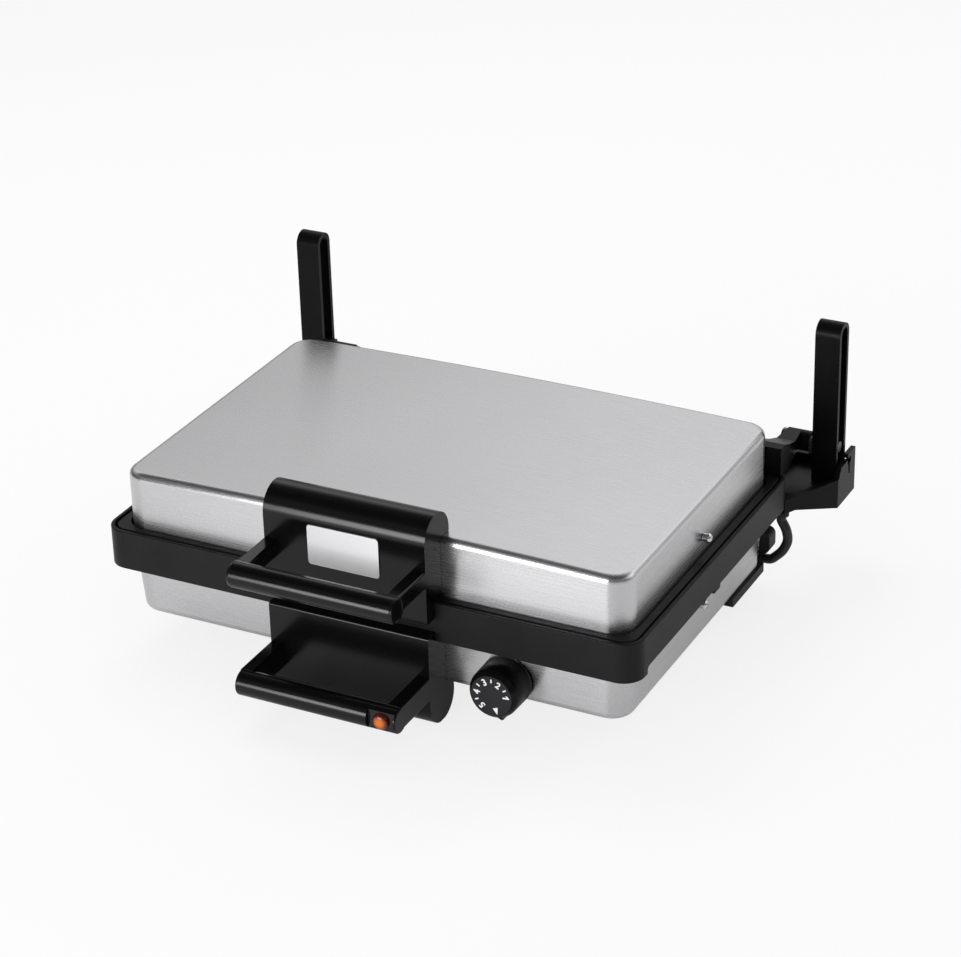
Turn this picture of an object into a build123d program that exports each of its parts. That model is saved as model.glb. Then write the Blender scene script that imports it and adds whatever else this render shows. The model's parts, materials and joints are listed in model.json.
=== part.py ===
from build123d import *
import math
import os

os.makedirs("parts", exist_ok=True)

# An electric contact grill: two ribbed plates in steel housings, the upper one riding on two
# slotted uprights behind the body, so that it lifts level and also swings open on its pins.
# Millimetres. X is the width, Y runs from the front to the rear, Z is up from the table.
# The model is laid out about the middle of its frame and moved to its own origin at the end.

# Grill plates: the rest is laid out round them
PLATE_W = 360.0
PLATE_D = 229.0
PLATE_T = 7.0
PLATE_LIP = 3.5
LIP_T = 2.5
WELL_RIM = 4.0
RIB_H = 3.0
RIB_W = 4.0
RIB_BEVEL = 1.0
RIB_PITCH = 12.0
PLATE_R = 8.0
HEATER_D = 6.5
HEATER_INSET_W = 30.0
HEATER_INSET_D = 34.5
HEATER_TAIL = 28.0
HEATER_BEND = 22.0
TERMINAL_GAP = 50.0
BOSS_D = 10.0
BOSS_X = 90.0
BOSS_Y = 45.0
TRAY_T = 1.0
TRAY_DEPTH = 16.0
TRAY_DRAFT = 4.0
TRAY_GAP = 1.8
TRAY_FLANGE = 1.8

# Frame: the black casting between the two steel shells
LEDGE_W = 20.0
LEDGE_D = 19.75
FRAME_TOP = 92.0
FRAME_FRONT_H = 28.5
FRAME_SIDE_H = 23.5
FRAME_R = 15.0
FRAME_WALL = 2.5
LEDGE_TOP = 81.2
LEDGE_T = 5.0
EDGE_BEVEL = 0.8
TAB_T = 3.0
TAB_W = 16.0
LUG_W = 10.0
LUG_H = 3.0
STEP_R = 3.0

# Steel shells
SHELL_T = 0.8
BODY_INSET = 11.0
BODY_R = 16.0
BASE_FLOOR = 23.5
BASE_DRAFT = 3.0
BASE_EDGE_R = 6.0
LID_TOP = 132.0
LID_CROWN = 2.8
LID_EDGE_R = 5.0

# Lid frame: the ring that nests in the frame and carries the upper plate
RING_GAP = 2.0
RING_W = 5.0
RING_TOP = 91.7
WEB_T = 5.0
PARTING = 0.5
RUN_GAP = 0.3

# Handles: one block and one grip on each half
HANDLE_X = -3.0
HANDLE_W = 120.0
HANDLE_R = 17.0
HANDLE_REACH = 10.75
HANDLE_SKIN = 6.0
BLOCK_EDGE_R = 2.0
BLOCK_SCREW_UP = 28.0
BLOCK_SCREW_DOWN = 14.0
UPPER_BLOCK_TOP = 154.5
UPPER_BLOCK_LOW = 80.8
LOWER_BLOCK_TOP = 70.5
FOOT_FLAT = 0.4
GRIP_R = 9.0
GRIP_REACH = 40.0
GRIP_ARM_W = 10.0
GRIP_ARM_R = 1.5
UPPER_GRIP_Z = 112.5
UPPER_ARM_H = 12.5
UPPER_ARM_UP = 1.5
LOWER_GRIP_Z = 31.0
LOWER_ARM_H = 18.0
LOWER_ARM_UP = 1.0
BAR_END_R = 1.2
LAMP_POCKET_W = 20.0
LAMP_END = 1.5
LAMP_SET_BACK = 4.0
LAMP_BROW = 7.0
LAMP_D = 12.0
LAMP_COVER_T = 1.5
LENS_DOME = 3.5
LENS_L = 6.5
HOLDER_D = 9.0
HOLDER_L = 5.3
FUSE_D = 6.0
FUSE_L = 18.0
FUSE_Y = -20.0
BADGE_W = 53.0
BADGE_H = 29.0
BADGE_T = 1.0
BADGE_R = 2.5
BADGE_DOWN = 0.5

# Knob and thermostat
KNOB_X = 103.0
KNOB_Z = 39.5
KNOB_D = 36.0
KNOB_L = 24.0
KNOB_FACE_D = 29.2
KNOB_NIB = 2.2
KNOB_NIB_W = 3.6
KNOB_NIB_AT = -72.0
KNOB_OFF = 1.5
KNOB_BEVEL = 1.6
KNOB_BEVEL_L = 2.6
KNOB_HOLLOW = 11.0
KNOB_WALL = 3.0
KNOB_HUB_D = 12.0
KNOB_BORE = 14.0
DIAL_SUNK = 0.2
DIAL_T = 1.0
SHAFT_END = 13.5
SHAFT_FLAT = 1.2
SHAFT_D = 6.0
BUSH_D = 10.0
THERMO_W = 32.0
THERMO_L = 22.0
THERMO_H = 28.0
THERMO_SEAT = 1.4
THERMO_UP = 2.0
THERMO_R = 3.0

# Uprights, brackets and hinge
UPRIGHT_OUTSET = 0.0
UPRIGHT_W = 18.5
UPRIGHT_D = 18.0
UPRIGHT_WALL = 3.2
UPRIGHT_TOP = 189.5
UPRIGHT_GAP = 40.0
SLOT_LOW = 78.0
HINGE_Z = 93.0
PIN_D = 8.0
PIN_SHORT = 1.0
PIN_HEAD_D = 13.0
PIN_HEAD_T = 3.2
KNUCKLE_R = 7.5
HUB_D = 15.0
HUB_GAP = 0.8
SLIDER_H = 13.0
SLIDER_SHORT = 4.5
SLIDER_PLAY = 0.15
SLIDER_FLANGE = 2.5
SLIDER_R = 1.2
CLIP_T = 1.2
CLIP_W = 1.5
BRACKET_WALL = 3.5
BRACKET_TOP = 74.5
BRACKET_LOW = 52.0
BRACKET_SHOULDER = 81.5
BRACKET_HOOK = 86.0
BRACKET_RIM = 9.0
BRACKET_DROP = 4.5
BRACKET_LEVEL = 4.5
BRACKET_INNER = 34.0
BRACKET_NECK = 22.0
BRACKET_FORE = 6.0
BRACKET_REAR = 10.0
BRACKET_GAP = 0.8
HOOK_SLIT = 12.5
FLANGE_IN = 50.0
FLANGE_W = 20.0
FLANGE_H = 7.5
ARM_INSET = 22.0
ARM_W = 10.0
ARM_ROOT_INSET = 32.0
ARM_ROOT_W = 28.0
ARM_ROOT_D = 8.0
ARM_ROOT_TOP = 114.0
ARM_OVER = 0.7
ARM_DIP = 14.0
ARM_MID = 22.0
ARM_MID_TOP = 102.5

# Rear, underside and fasteners
COVER_T = 12.0
COVER_INSET = 13.0
COVER_EAR = 14.0
COVER_UP = 34.0
COVER_DOWN = 7.0
COVER_R = 3.0
EAR_LOW = 7.0
EAR_H = 17.0
EAR_R = 5.0
BUSH_L = 10.0
BUSH_WALL = 2.0
GLAND_D = 12.0
GLAND_UP = 14.0
GLAND_IN = 8.0
GLAND_NUT_R = 9.0
GLAND_NUT_L = 6.0
GLAND_CAP_L = 6.0
RUNNER_L = 60.0
RUNNER_W = 15.0
RUNNER_H = 5.0
RUNNER_UP = 1.5
RUNNER_R = 2.0
FOOT_D = 18.0
FOOT_INSET_X = 60.0
FOOT_INSET_Y = 59.25
SIDE_SCREW_D = 7.0
SIDE_SCREW_IN = 6.0
BASE_SCREW_DOWN = 39.5
BASE_SCREW_OUT = 2.5
LID_SCREW_UP = 12.0
LID_SCREW_OUT = 3.5
ARM_SCREW_IN = 8.0
ARM_SCREW_PITCH = 11.0
ARM_SCREW_BACK = 3.9
M3 = 3.0
M4 = 4.0
M5 = 5.0
HEAD_T = 2.6
LEAD_D = 7.0
TERMINALS = 4
TERMINAL_PITCH = 12.0
TERMINAL_L = 18.0
TERMINAL_H = 15.0
TERMINAL_INSET = 34.0
FIT = 0.05
GAP = 0.2
PAST = 1.0
WALL_CUT = 40.0

# Worked out from the values above. PAST is how far a cut runs beyond what it cuts, and
# WALL_CUT how deep a hole through a wall is drilled.
FRAME_W = PLATE_W + 2 * LEDGE_W
FRAME_D = PLATE_D + 2 * LEDGE_D
FRONT = -FRAME_D / 2
REAR = FRAME_D / 2
SIDE = FRAME_W / 2
LEDGE_LOW = LEDGE_TOP - LEDGE_T
BODY_W = FRAME_W - 2 * BODY_INSET
BODY_D = FRAME_D - 2 * BODY_INSET
RING_IN = SIDE - FRAME_WALL - RING_GAP
RING_LOW = LEDGE_TOP + PARTING
WEB_TOP = RING_LOW + WEB_T
LOWER_FACE = LEDGE_TOP
UPPER_FACE = RING_LOW
BLOCK_FACE = FRONT - HANDLE_REACH
BLOCK_AXIS = BLOCK_FACE + HANDLE_R
HANDLE_LEFT = HANDLE_X - HANDLE_W / 2
HANDLE_RIGHT = HANDLE_X + HANDLE_W / 2
GRIP_Y = BLOCK_FACE - GRIP_REACH
SLIDER_Y = REAR + UPRIGHT_GAP + UPRIGHT_D / 2
SLOT_W = UPRIGHT_D - 2 * UPRIGHT_WALL
UPRIGHT_X = SIDE + UPRIGHT_OUTSET
UPRIGHT_OUT = UPRIGHT_X + UPRIGHT_W
BRACKET_IN = UPRIGHT_OUT + BRACKET_GAP
BRACKET_OUT = BRACKET_IN + BRACKET_WALL
BRACKET_END = SLIDER_Y + UPRIGHT_D / 2 + BRACKET_REAR
BRACKET_FRONT = SLIDER_Y - UPRIGHT_D / 2 - BRACKET_FORE
ARM_IN_X = SIDE - ARM_INSET
ARM_ROOT_IN = SIDE - ARM_ROOT_INSET
ARM_ROOT_OUT = ARM_ROOT_IN + ARM_ROOT_W
COVER_W = BODY_W - 2 * COVER_INSET
FOOT_X = SIDE - FOOT_INSET_X
FOOT_Y = REAR - FOOT_INSET_Y
MIRROR = Plane.YZ


def block(x0, x1, y0, y1, z0, z1):
    """A box given by its bounds."""
    return Pos((x0 + x1) / 2, (y0 + y1) / 2, (z0 + z1) / 2) * Box(x1 - x0, y1 - y0, z1 - z0)


def rod_x(x0, x1, y, z, d):
    """A round bar along X."""
    return Pos((x0 + x1) / 2, y, z) * Rot(0, 90, 0) * Cylinder(d / 2, x1 - x0)


def rod_y(x, y0, y1, z, d):
    """A round bar along Y."""
    return Pos(x, (y0 + y1) / 2, z) * Rot(90, 0, 0) * Cylinder(d / 2, y1 - y0)


def rod_z(x, y, z0, z1, d):
    """A round bar along Z."""
    return Pos(x, y, (z0 + z1) / 2) * Cylinder(d / 2, z1 - z0)


def prism(w, d, r, z0, z1):
    """An upright prism on a rectangle with round corners, about the middle of the frame."""
    return Pos(0, 0, z0) * extrude(RectangleRounded(w, d, r), z1 - z0)


def profile_x(points, x0, x1):
    """A profile of (y, z) points, extruded along X."""
    face = make_face(Polyline(*[(x0, y, z) for y, z in points], close=True))
    return extrude(face, x1 - x0, dir=(1, 0, 0))


def pair(shape):
    """A piece and its mirror image on the other side."""
    return [shape, mirror(shape, about=MIRROR)]


def both(shape):
    """A piece and its mirror image as one shape for cutting or fusing."""
    return shape + mirror(shape, about=MIRROR)


def base_pan(grow, floor_up):
    """The base shell's outline: a drafted pan with a rounded floor edge."""
    w_floor = BODY_W - 2 * BASE_DRAFT + 2 * grow
    d_floor = BODY_D - 2 * BASE_DRAFT + 2 * grow
    w_top = BODY_W + 2 * grow
    d_top = BODY_D + 2 * grow
    low = Pos(0, 0, BASE_FLOOR + floor_up) * RectangleRounded(w_floor, d_floor, BODY_R + grow)
    high = Pos(0, 0, LEDGE_LOW - GAP) * RectangleRounded(w_top, d_top, BODY_R + grow)
    pan = loft([low, high], ruled=True)
    return fillet(pan.edges().group_by(Axis.Z)[0], BASE_EDGE_R + grow)


def lid_pan(grow):
    """The lid shell's outline: straight walls, a crowned top and a rounded top edge."""
    w = BODY_W + 2 * grow
    d = BODY_D + 2 * grow
    crown_r = (BODY_W / 2) ** 2 / (2 * LID_CROWN)
    top = LID_TOP + LID_CROWN + grow
    walls = prism(w, d, BODY_R + grow, WEB_TOP + GAP, top + PAST)
    crown = Pos(0, 0, top - crown_r) * Rot(90, 0, 0) * Cylinder(crown_r, 2 * d)
    pan = walls & crown
    return fillet(rim_edges(pan, top), LID_EDGE_R + grow)


def rim_edges(pan, top):
    """The edges between the lid's walls and its crowned top."""
    level = top - 1.5 * LID_CROWN
    return [edge for edge in pan.edges() if edge.center().Z > level]


def base_shell():
    """Lower steel housing with its holes."""
    shell = base_pan(0, 0) - base_pan(-SHELL_T, SHELL_T)
    shell -= rod_y(KNOB_X, FRONT, FRONT + WALL_CUT, KNOB_Z, BUSH_D + 2 * GAP)
    for x in handle_screw_x():
        shell -= rod_y(x, FRONT, FRONT + WALL_CUT, lower_screw_z(), M5 + 2 * GAP)
    shell -= both(rod_x(SIDE - WALL_CUT, SIDE, 0, base_side_z(), M4 + 2 * GAP))
    shell -= rod_y(gland_x(), REAR - WALL_CUT, REAR, gland_z(), GLAND_D)
    for x in (-FOOT_X, FOOT_X):
        shell -= rod_z(x, FOOT_Y, BASE_FLOOR - PAST, BASE_FLOOR + 2 * PAST, M4 + 2 * GAP)
    return shell


def handle_screw_x():
    """Where the two screws of each handle block go."""
    return (HANDLE_X - HANDLE_W / 4, HANDLE_X + HANDLE_W / 4)


def lower_screw_z():
    """Height of the screws in the lower handle block."""
    return BASE_FLOOR + BLOCK_SCREW_UP


def upper_screw_z():
    """Height of the screws in the upper handle block."""
    return LID_TOP - BLOCK_SCREW_DOWN


def base_side_z():
    """Height of the screws in the sides of the base."""
    return FRAME_TOP - BASE_SCREW_DOWN


def lid_side_z():
    """Height of the screws in the sides of the lid."""
    return FRAME_TOP + LID_SCREW_UP


def base_frame():
    """The black frame: a skirt round the body with a ledge for the plate."""
    low = FRAME_TOP - FRAME_FRONT_H
    frame = prism(FRAME_W, FRAME_D, FRAME_R, low, FRAME_TOP)
    frame = fillet(frame.edges().group_by(Axis.Z)[-1], EDGE_BEVEL)
    inner_w = FRAME_W - 2 * FRAME_WALL
    inner_d = FRAME_D - 2 * FRAME_WALL
    inner_r = FRAME_R - FRAME_WALL
    frame -= prism(inner_w, inner_d, inner_r, LEDGE_TOP, FRAME_TOP + PAST)
    frame -= prism(inner_w, inner_d, inner_r, low - PAST, LEDGE_LOW)
    lip = PLATE_LIP + RUN_GAP
    frame -= prism(PLATE_W + 2 * RUN_GAP, PLATE_D + 2 * RUN_GAP, PLATE_R, LEDGE_LOW - PAST, FRAME_TOP)
    seat = LEDGE_TOP - LIP_T
    frame -= prism(PLATE_W + 2 * lip, PLATE_D + 2 * lip, PLATE_R + lip, seat, FRAME_TOP)
    step = FRAME_TOP - FRAME_SIDE_H
    front_skirt = FRONT + FRAME_R + 4
    cut = block(-SIDE - PAST, SIDE + PAST, front_skirt, REAR + PAST, low - PAST, step)
    frame -= fillet(cut.edges().filter_by(Axis.X).group_by(Axis.Y)[0].group_by(Axis.Z)[-1], STEP_R)
    x_tab = BODY_W / 2 - SHELL_T - TAB_T
    tab = block(x_tab, SIDE, -TAB_W / 2, TAB_W / 2, base_side_z() - TAB_W / 2, LEDGE_LOW)
    tab = tab & base_pan(-SHELL_T - GAP / 2, SHELL_T)
    tab += block(x_tab, x_tab + TAB_T - GAP, -TAB_W / 2, TAB_W / 2, LEDGE_LOW - PAST, LEDGE_LOW + FIT)
    lug = block(SIDE - FRAME_WALL, SIDE, -LUG_W / 2, LUG_W / 2, step - LUG_H, step)
    x = bracket_screw_x()
    y_in = REAR - FRAME_WALL
    boss = block(x - M4, x + M4, y_in - M5, y_in + FIT, step + PARTING, LEDGE_LOW + FIT)
    frame += both(tab) + both(lug) + both(boss)
    frame -= both(rod_x(SIDE - WALL_CUT, SIDE, 0, base_side_z(), M4 + FIT))
    frame -= both(rod_y(x, REAR - 3 * M4, REAR + PAST, bracket_screw_z(), M4 + FIT))
    return frame


def body_wall_x(z):
    """Inner face of the base shell's side wall at a height."""
    rise = LEDGE_LOW - GAP - BASE_FLOOR
    lean = BASE_DRAFT * (LEDGE_LOW - GAP - z) / rise
    return BODY_W / 2 - lean - SHELL_T


def body_wall_y(z):
    """Outer face of the base shell's front and rear walls at a height."""
    rise = LEDGE_LOW - GAP - BASE_FLOOR
    return BODY_D / 2 - BASE_DRAFT * (LEDGE_LOW - GAP - z) / rise


def bracket_screw_x():
    """Where a bracket's flange is screwed to the frame."""
    return SIDE - FLANGE_IN + 2 * M4


def bracket_screw_z():
    """Height of the screws in the brackets' flanges."""
    return FRAME_TOP - FRAME_SIDE_H + FLANGE_H / 2


def heater_path(z):
    """The element's route: one loop under the plate with both ends towards the rear."""
    x = PLATE_W / 2 - HEATER_INSET_W
    y = PLATE_D / 2 - HEATER_INSET_D
    g = TERMINAL_GAP / 2
    end = y + HEATER_TAIL
    points = [(g, end), (g, y), (x, y), (x, -y), (-x, -y), (-x, y), (-g, y), (-g, end)]
    corner = HEATER_BEND / 2
    radii = [corner] + [HEATER_BEND] * 4 + [corner]
    return FilletPolyline(*[(px, py, z) for px, py in points], radius=radii)


def heater(z, d):
    """A tubular heating element, or the groove for it."""
    path = heater_path(z)
    section = Plane(origin=path @ 0, z_dir=path % 0) * Circle(d / 2)
    return sweep(section, path=path)


def grill_plate(face, up, seat_t):
    """A ribbed cast plate. face is its cooking level, and up is 1 where it faces up, else -1."""
    def level(a, b):
        return (min(face + up * a, face + up * b), max(face + up * a, face + up * b))

    lip_w = PLATE_W + 2 * PLATE_LIP
    lip_d = PLATE_D + 2 * PLATE_LIP
    plate = prism(lip_w, lip_d, PLATE_R + PLATE_LIP, *level(-LIP_T + GAP / 2, 0))
    plate += prism(PLATE_W, PLATE_D, PLATE_R, *level(-RIB_H - PLATE_T, 0))
    well_w = PLATE_W - 2 * WELL_RIM
    well_d = PLATE_D - 2 * WELL_RIM
    plate -= prism(well_w, well_d, PLATE_R - WELL_RIM, *level(-RIB_H, PAST))
    count = int((well_w - 2 * RIB_W) // RIB_PITCH)
    ribs = [(i - (count - 1) / 2) * RIB_PITCH for i in range(count)]
    z0, z1 = level(-RIB_H - PARTING, 0)
    rib_end = well_d / 2 - RIB_W
    ridge = block(-RIB_W / 2, RIB_W / 2, -rib_end, rib_end, z0, z1)
    top = ridge.faces().sort_by(Axis.Z)[-1 if up > 0 else 0]
    ridge = chamfer(top.edges().filter_by(Axis.Y), RIB_BEVEL)
    plate += [Pos(x, 0, 0) * ridge for x in ribs]
    back = -RIB_H - PLATE_T
    tip = back - boss_h(seat_t)
    for x in (-BOSS_X, BOSS_X):
        for y in (-BOSS_Y, BOSS_Y):
            stem = rod_z(x, y, *level(back + PARTING, tip), BOSS_D)
            hole = rod_z(x, y, *level(back, tip - PAST), M4 + FIT)
            plate = plate + stem - hole
    return plate - heater(face + up * back, HEATER_D + 2 * FIT)


def boss_h(seat_t):
    """Height of a plate's bosses, down to the tray's floor."""
    return seat_t + TRAY_DEPTH - TRAY_T - RIB_H - PLATE_T - FIT


def tray(rim, up):
    """A reflector tray that closes a plate's back. up is 1 where it opens upwards."""
    w = PLATE_W + 2 * TRAY_GAP
    d = PLATE_D + 2 * TRAY_GAP
    floor = rim - up * TRAY_DEPTH

    def dish(grow, shift):
        w_low = w - 2 * TRAY_DRAFT + 2 * grow
        d_low = d - 2 * TRAY_DRAFT + 2 * grow
        low = Pos(0, 0, floor + up * shift) * RectangleRounded(w_low, d_low, PLATE_R)
        high = Pos(0, 0, rim) * RectangleRounded(w + 2 * grow, d + 2 * grow, PLATE_R)
        return loft([low, high] if up > 0 else [high, low], ruled=True)

    z0, z1 = sorted((rim, rim - up * TRAY_T))
    edge = 2 * (TRAY_T + TRAY_FLANGE)
    shell = dish(TRAY_T, 0) + prism(w + edge, d + edge, PLATE_R, z0, z1)
    shell -= dish(0, TRAY_T)
    for x in (-BOSS_X, BOSS_X):
        for y in (-BOSS_Y, BOSS_Y):
            shell -= rod_z(x, y, floor - 2 * TRAY_T, floor + 2 * TRAY_T, M4 + 2 * GAP)
    half = TERMINAL_GAP / 2 + HEATER_D
    ends = block(-half, half, PLATE_D / 2 - BOSS_D, d / 2 + BOSS_D, *sorted((rim - up * BOSS_D, rim + up)))
    return shell - ends


def tray_screws(rim, up):
    """Four screws that hold a tray to its plate's bosses."""
    floor = rim - up * TRAY_DEPTH
    out = []
    for x in (-BOSS_X, BOSS_X):
        for y in (-BOSS_Y, BOSS_Y):
            shank = rod_z(x, y, *sorted((floor - up * 2 * FIT, floor + up * 2 * M4)), M4 - FIT)
            head = rod_z(x, y, *sorted((floor - up * FIT, floor - up * HEAD_T)), 2 * M4)
            out.append(shank + head)
    return out


def lid_frame():
    """The ring that nests in the frame, with its web for the upper plate and the lid shell."""
    w = 2 * RING_IN
    d = FRAME_D - 2 * (FRAME_WALL + RING_GAP)
    r = FRAME_R - FRAME_WALL - RING_GAP
    outline = prism(w, d, r, RING_LOW, RING_TOP)
    ring = fillet(outline.edges().group_by(Axis.Z)[-1], EDGE_BEVEL)
    ring -= prism(w - 2 * RING_W, d - 2 * RING_W, BODY_R + PAST, WEB_TOP, RING_TOP + PAST)
    ring -= prism(PLATE_W + 2 * RUN_GAP, PLATE_D + 2 * RUN_GAP, PLATE_R, RING_LOW - PAST, RING_TOP)
    lip = PLATE_LIP + RUN_GAP
    ring -= prism(PLATE_W + 2 * lip, PLATE_D + 2 * lip, PLATE_R + lip, RING_LOW - PAST, RING_LOW + LIP_T)
    x_out = BODY_W / 2 - SHELL_T - GAP / 2
    tab = block(x_out - TAB_T, x_out, -TAB_W / 2, TAB_W / 2, WEB_TOP, lid_side_z() + TAB_W / 2)
    y_in = BODY_D / 2 + GAP
    pad = block(ARM_ROOT_IN, ARM_ROOT_OUT - 3 * M3, y_in, y_in + M3, WEB_TOP, RING_TOP) & outline
    ring += both(tab) + both(pad)
    for x in arm_screw_x():
        ring -= both(rod_z(x, arm_screw_y(), RING_LOW - PAST, RING_TOP + PAST, M3 + 2 * GAP))
        ring -= both(rod_z(x, arm_screw_y(), RING_LOW - PAST, RING_LOW + HEAD_T, 2 * M3))
    ring -= both(rod_x(SIDE - WALL_CUT, SIDE, 0, lid_side_z(), M4 + FIT))
    return ring


def lid_shell():
    """Upper steel housing with its crowned top."""
    shell = lid_pan(0) - lid_pan(-SHELL_T)
    for x in handle_screw_x():
        shell -= rod_y(x, FRONT, FRONT + WALL_CUT, upper_screw_z(), M5 + 2 * GAP)
    shell -= both(rod_x(SIDE - WALL_CUT, SIDE, 0, lid_side_z(), M4 + 2 * GAP))
    return shell


def upper_handle_block():
    """The block on the lid's front, with its round top."""
    z_axis = UPPER_BLOCK_TOP - HANDLE_R
    x0 = HANDLE_LEFT - PAST
    x1 = HANDLE_RIGHT + PAST
    body = rod_x(HANDLE_LEFT, HANDLE_RIGHT, BLOCK_AXIS, z_axis, 2 * HANDLE_R)
    body += block(HANDLE_LEFT, HANDLE_RIGHT, BLOCK_FACE, BLOCK_AXIS + HANDLE_R - 4, UPPER_BLOCK_LOW, z_axis)
    body = fillet(body.edges().filter_by(Axis.X).group_by(Axis.Z)[0].group_by(Axis.Y)[0], BLOCK_EDGE_R)
    body -= lid_pan(GAP)
    body -= block(x0, x1, FRONT - RUN_GAP, 0, 0, FRAME_TOP + 2 * RUN_GAP)
    body -= block(x0, x1, -BODY_D / 2 - GAP, 0, 0, LID_TOP - LID_EDGE_R)
    for x in handle_screw_x():
        body -= rod_y(x, BLOCK_FACE + HANDLE_SKIN, FRONT + WALL_CUT, upper_screw_z(), M5 + FIT)
    return body


def lower_handle_block():
    """The block on the base's front, whose round lower end is the front foot."""
    z_axis = HANDLE_R - FOOT_FLAT
    body = rod_x(HANDLE_LEFT, HANDLE_RIGHT, BLOCK_AXIS, z_axis, 2 * HANDLE_R)
    body += block(HANDLE_LEFT, HANDLE_RIGHT, BLOCK_FACE, BASE_EDGE_R - BODY_D / 2, z_axis, LOWER_BLOCK_TOP)
    body = fillet(body.edges().filter_by(Axis.X).group_by(Axis.Z)[-1].group_by(Axis.Y)[0], BLOCK_EDGE_R)
    x0 = HANDLE_LEFT - PAST
    x1 = HANDLE_RIGHT + PAST
    body -= block(x0, x1, BLOCK_FACE - PAST, 0, -FOOT_FLAT - PAST, 0)
    body -= base_pan(GAP, 0)
    skirt = FRAME_TOP - FRAME_FRONT_H - GAP
    body -= block(x0, x1, FRONT - GAP, 0, skirt, FRAME_TOP)
    for x in handle_screw_x():
        body -= rod_y(x, BLOCK_FACE + HANDLE_SKIN, FRONT + WALL_CUT, lower_screw_z(), M5 + FIT)
    return body


def handle_screws(z, wall_y):
    """Two screws from inside a shell into its handle block."""
    out = []
    for x in handle_screw_x():
        shank = rod_y(x, BLOCK_FACE + HANDLE_SKIN + 2 * PAST, wall_y + PAST, z, M5 - FIT)
        head = rod_y(x, wall_y + 2 * GAP, wall_y + 2 * GAP + HEAD_T, z, 2 * M5)
        out.append(shank + head)
    return out


def grip_arm(x0, x1, y_end, z, h):
    """One arm of a grip, from the block's face out to the bar."""
    arm = block(x0, x1, y_end, BLOCK_FACE - GAP / 2, z - h / 2, z + h / 2)
    return fillet(arm.edges().filter_by(Axis.Y), GRIP_ARM_R)


def upper_grip():
    """The upper grip: a round bar on two arms."""
    bar = rod_x(HANDLE_LEFT, HANDLE_RIGHT, GRIP_Y, UPPER_GRIP_Z, 2 * GRIP_R)
    bar = fillet(bar.edges().filter_by(GeomType.CIRCLE), BAR_END_R)
    z = UPPER_GRIP_Z + UPPER_ARM_UP
    bar += grip_arm(HANDLE_LEFT, HANDLE_LEFT + GRIP_ARM_W, GRIP_Y, z, UPPER_ARM_H)
    bar += grip_arm(HANDLE_RIGHT - GRIP_ARM_W, HANDLE_RIGHT, GRIP_Y, z, UPPER_ARM_H)
    return bar


def lamp_x():
    """Where the lamp sits along the lower grip."""
    return HANDLE_RIGHT - LAMP_END - LAMP_POCKET_W / 2


def lamp_face():
    """The plane at the lamp cover's back, cut into the bar."""
    return GRIP_Y - LAMP_SET_BACK


def lamp_section(y0, y1, inset):
    """The bar's cross section where the lamp's pocket is, between two planes."""
    x0 = lamp_x() - LAMP_POCKET_W / 2 + inset
    x1 = lamp_x() + LAMP_POCKET_W / 2 - inset
    bar = rod_x(x0, x1, GRIP_Y, LOWER_GRIP_Z, 2 * (GRIP_R - inset))
    return bar & block(x0, x1, y0, y1, LOWER_GRIP_Z - GRIP_R, LOWER_GRIP_Z + LAMP_BROW - inset)


def lower_grip():
    """The lower grip, whose right end has a pocket for the lamp."""
    bar = rod_x(HANDLE_LEFT, HANDLE_RIGHT, GRIP_Y, LOWER_GRIP_Z, 2 * GRIP_R)
    bar = fillet(bar.edges().filter_by(GeomType.CIRCLE), BAR_END_R)
    z = LOWER_GRIP_Z + LOWER_ARM_UP
    bar += grip_arm(HANDLE_LEFT, HANDLE_LEFT + GRIP_ARM_W, GRIP_Y, z, LOWER_ARM_H)
    bar += grip_arm(HANDLE_RIGHT - GRIP_ARM_W, HANDLE_RIGHT, GRIP_Y, z, LOWER_ARM_H)
    x = lamp_x()
    face = lamp_face()
    half = LAMP_POCKET_W / 2
    low = LOWER_GRIP_Z - GRIP_R - PAST
    bar -= block(x - half, x + half, GRIP_Y - GRIP_R - PAST, face, low, LOWER_GRIP_Z + LAMP_BROW)
    stem_end = lens_front() + LENS_DOME + LENS_L
    bar -= rod_y(x, face - PAST, stem_end + PAST, LOWER_GRIP_Z, LAMP_D + 2 * RUN_GAP)
    return bar - rod_y(x, face, stem_end + HOLDER_L + GAP, LOWER_GRIP_Z, HOLDER_D + 2 * GAP)


def lens_front():
    """The front of the lens, a dome's height before its cover."""
    return lamp_face() - LAMP_COVER_T - LENS_DOME


def lamp_cover():
    """A thin plate in the lamp's pocket, with a hole for the lens."""
    plate = lamp_section(lamp_face() - LAMP_COVER_T, lamp_face() - FIT, GAP)
    return plate - rod_y(lamp_x(), lens_front(), lamp_face() + PAST, LOWER_GRIP_Z, LAMP_D + 2 * FIT)


def lamp_lens():
    """The lamp's stem with its rounded front."""
    stem = rod_y(lamp_x(), lens_front(), lens_front() + LENS_DOME + LENS_L, LOWER_GRIP_Z, LAMP_D)
    return fillet([stem.edges().filter_by(GeomType.CIRCLE).sort_by(Axis.Y)[0]], LENS_DOME)


def lamp_holder():
    """The neon lamp's body behind its lens."""
    back = lens_front() + LENS_DOME + LENS_L
    return rod_y(lamp_x(), back + FIT, back + HOLDER_L, LOWER_GRIP_Z, HOLDER_D)


def badge():
    """A bare plate on the upper block's face."""
    z = UPPER_BLOCK_TOP - HANDLE_R - BADGE_DOWN - BADGE_H / 2
    face = Pos(HANDLE_X, BLOCK_FACE, z) * Rot(90, 0, 0) * RectangleRounded(BADGE_W, BADGE_H, BADGE_R)
    return extrude(face, BADGE_T, dir=(0, -1, 0))


def knob_back():
    """The knob's rear face stands just clear of the shell."""
    return -body_wall_y(KNOB_Z) - KNOB_OFF


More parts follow.
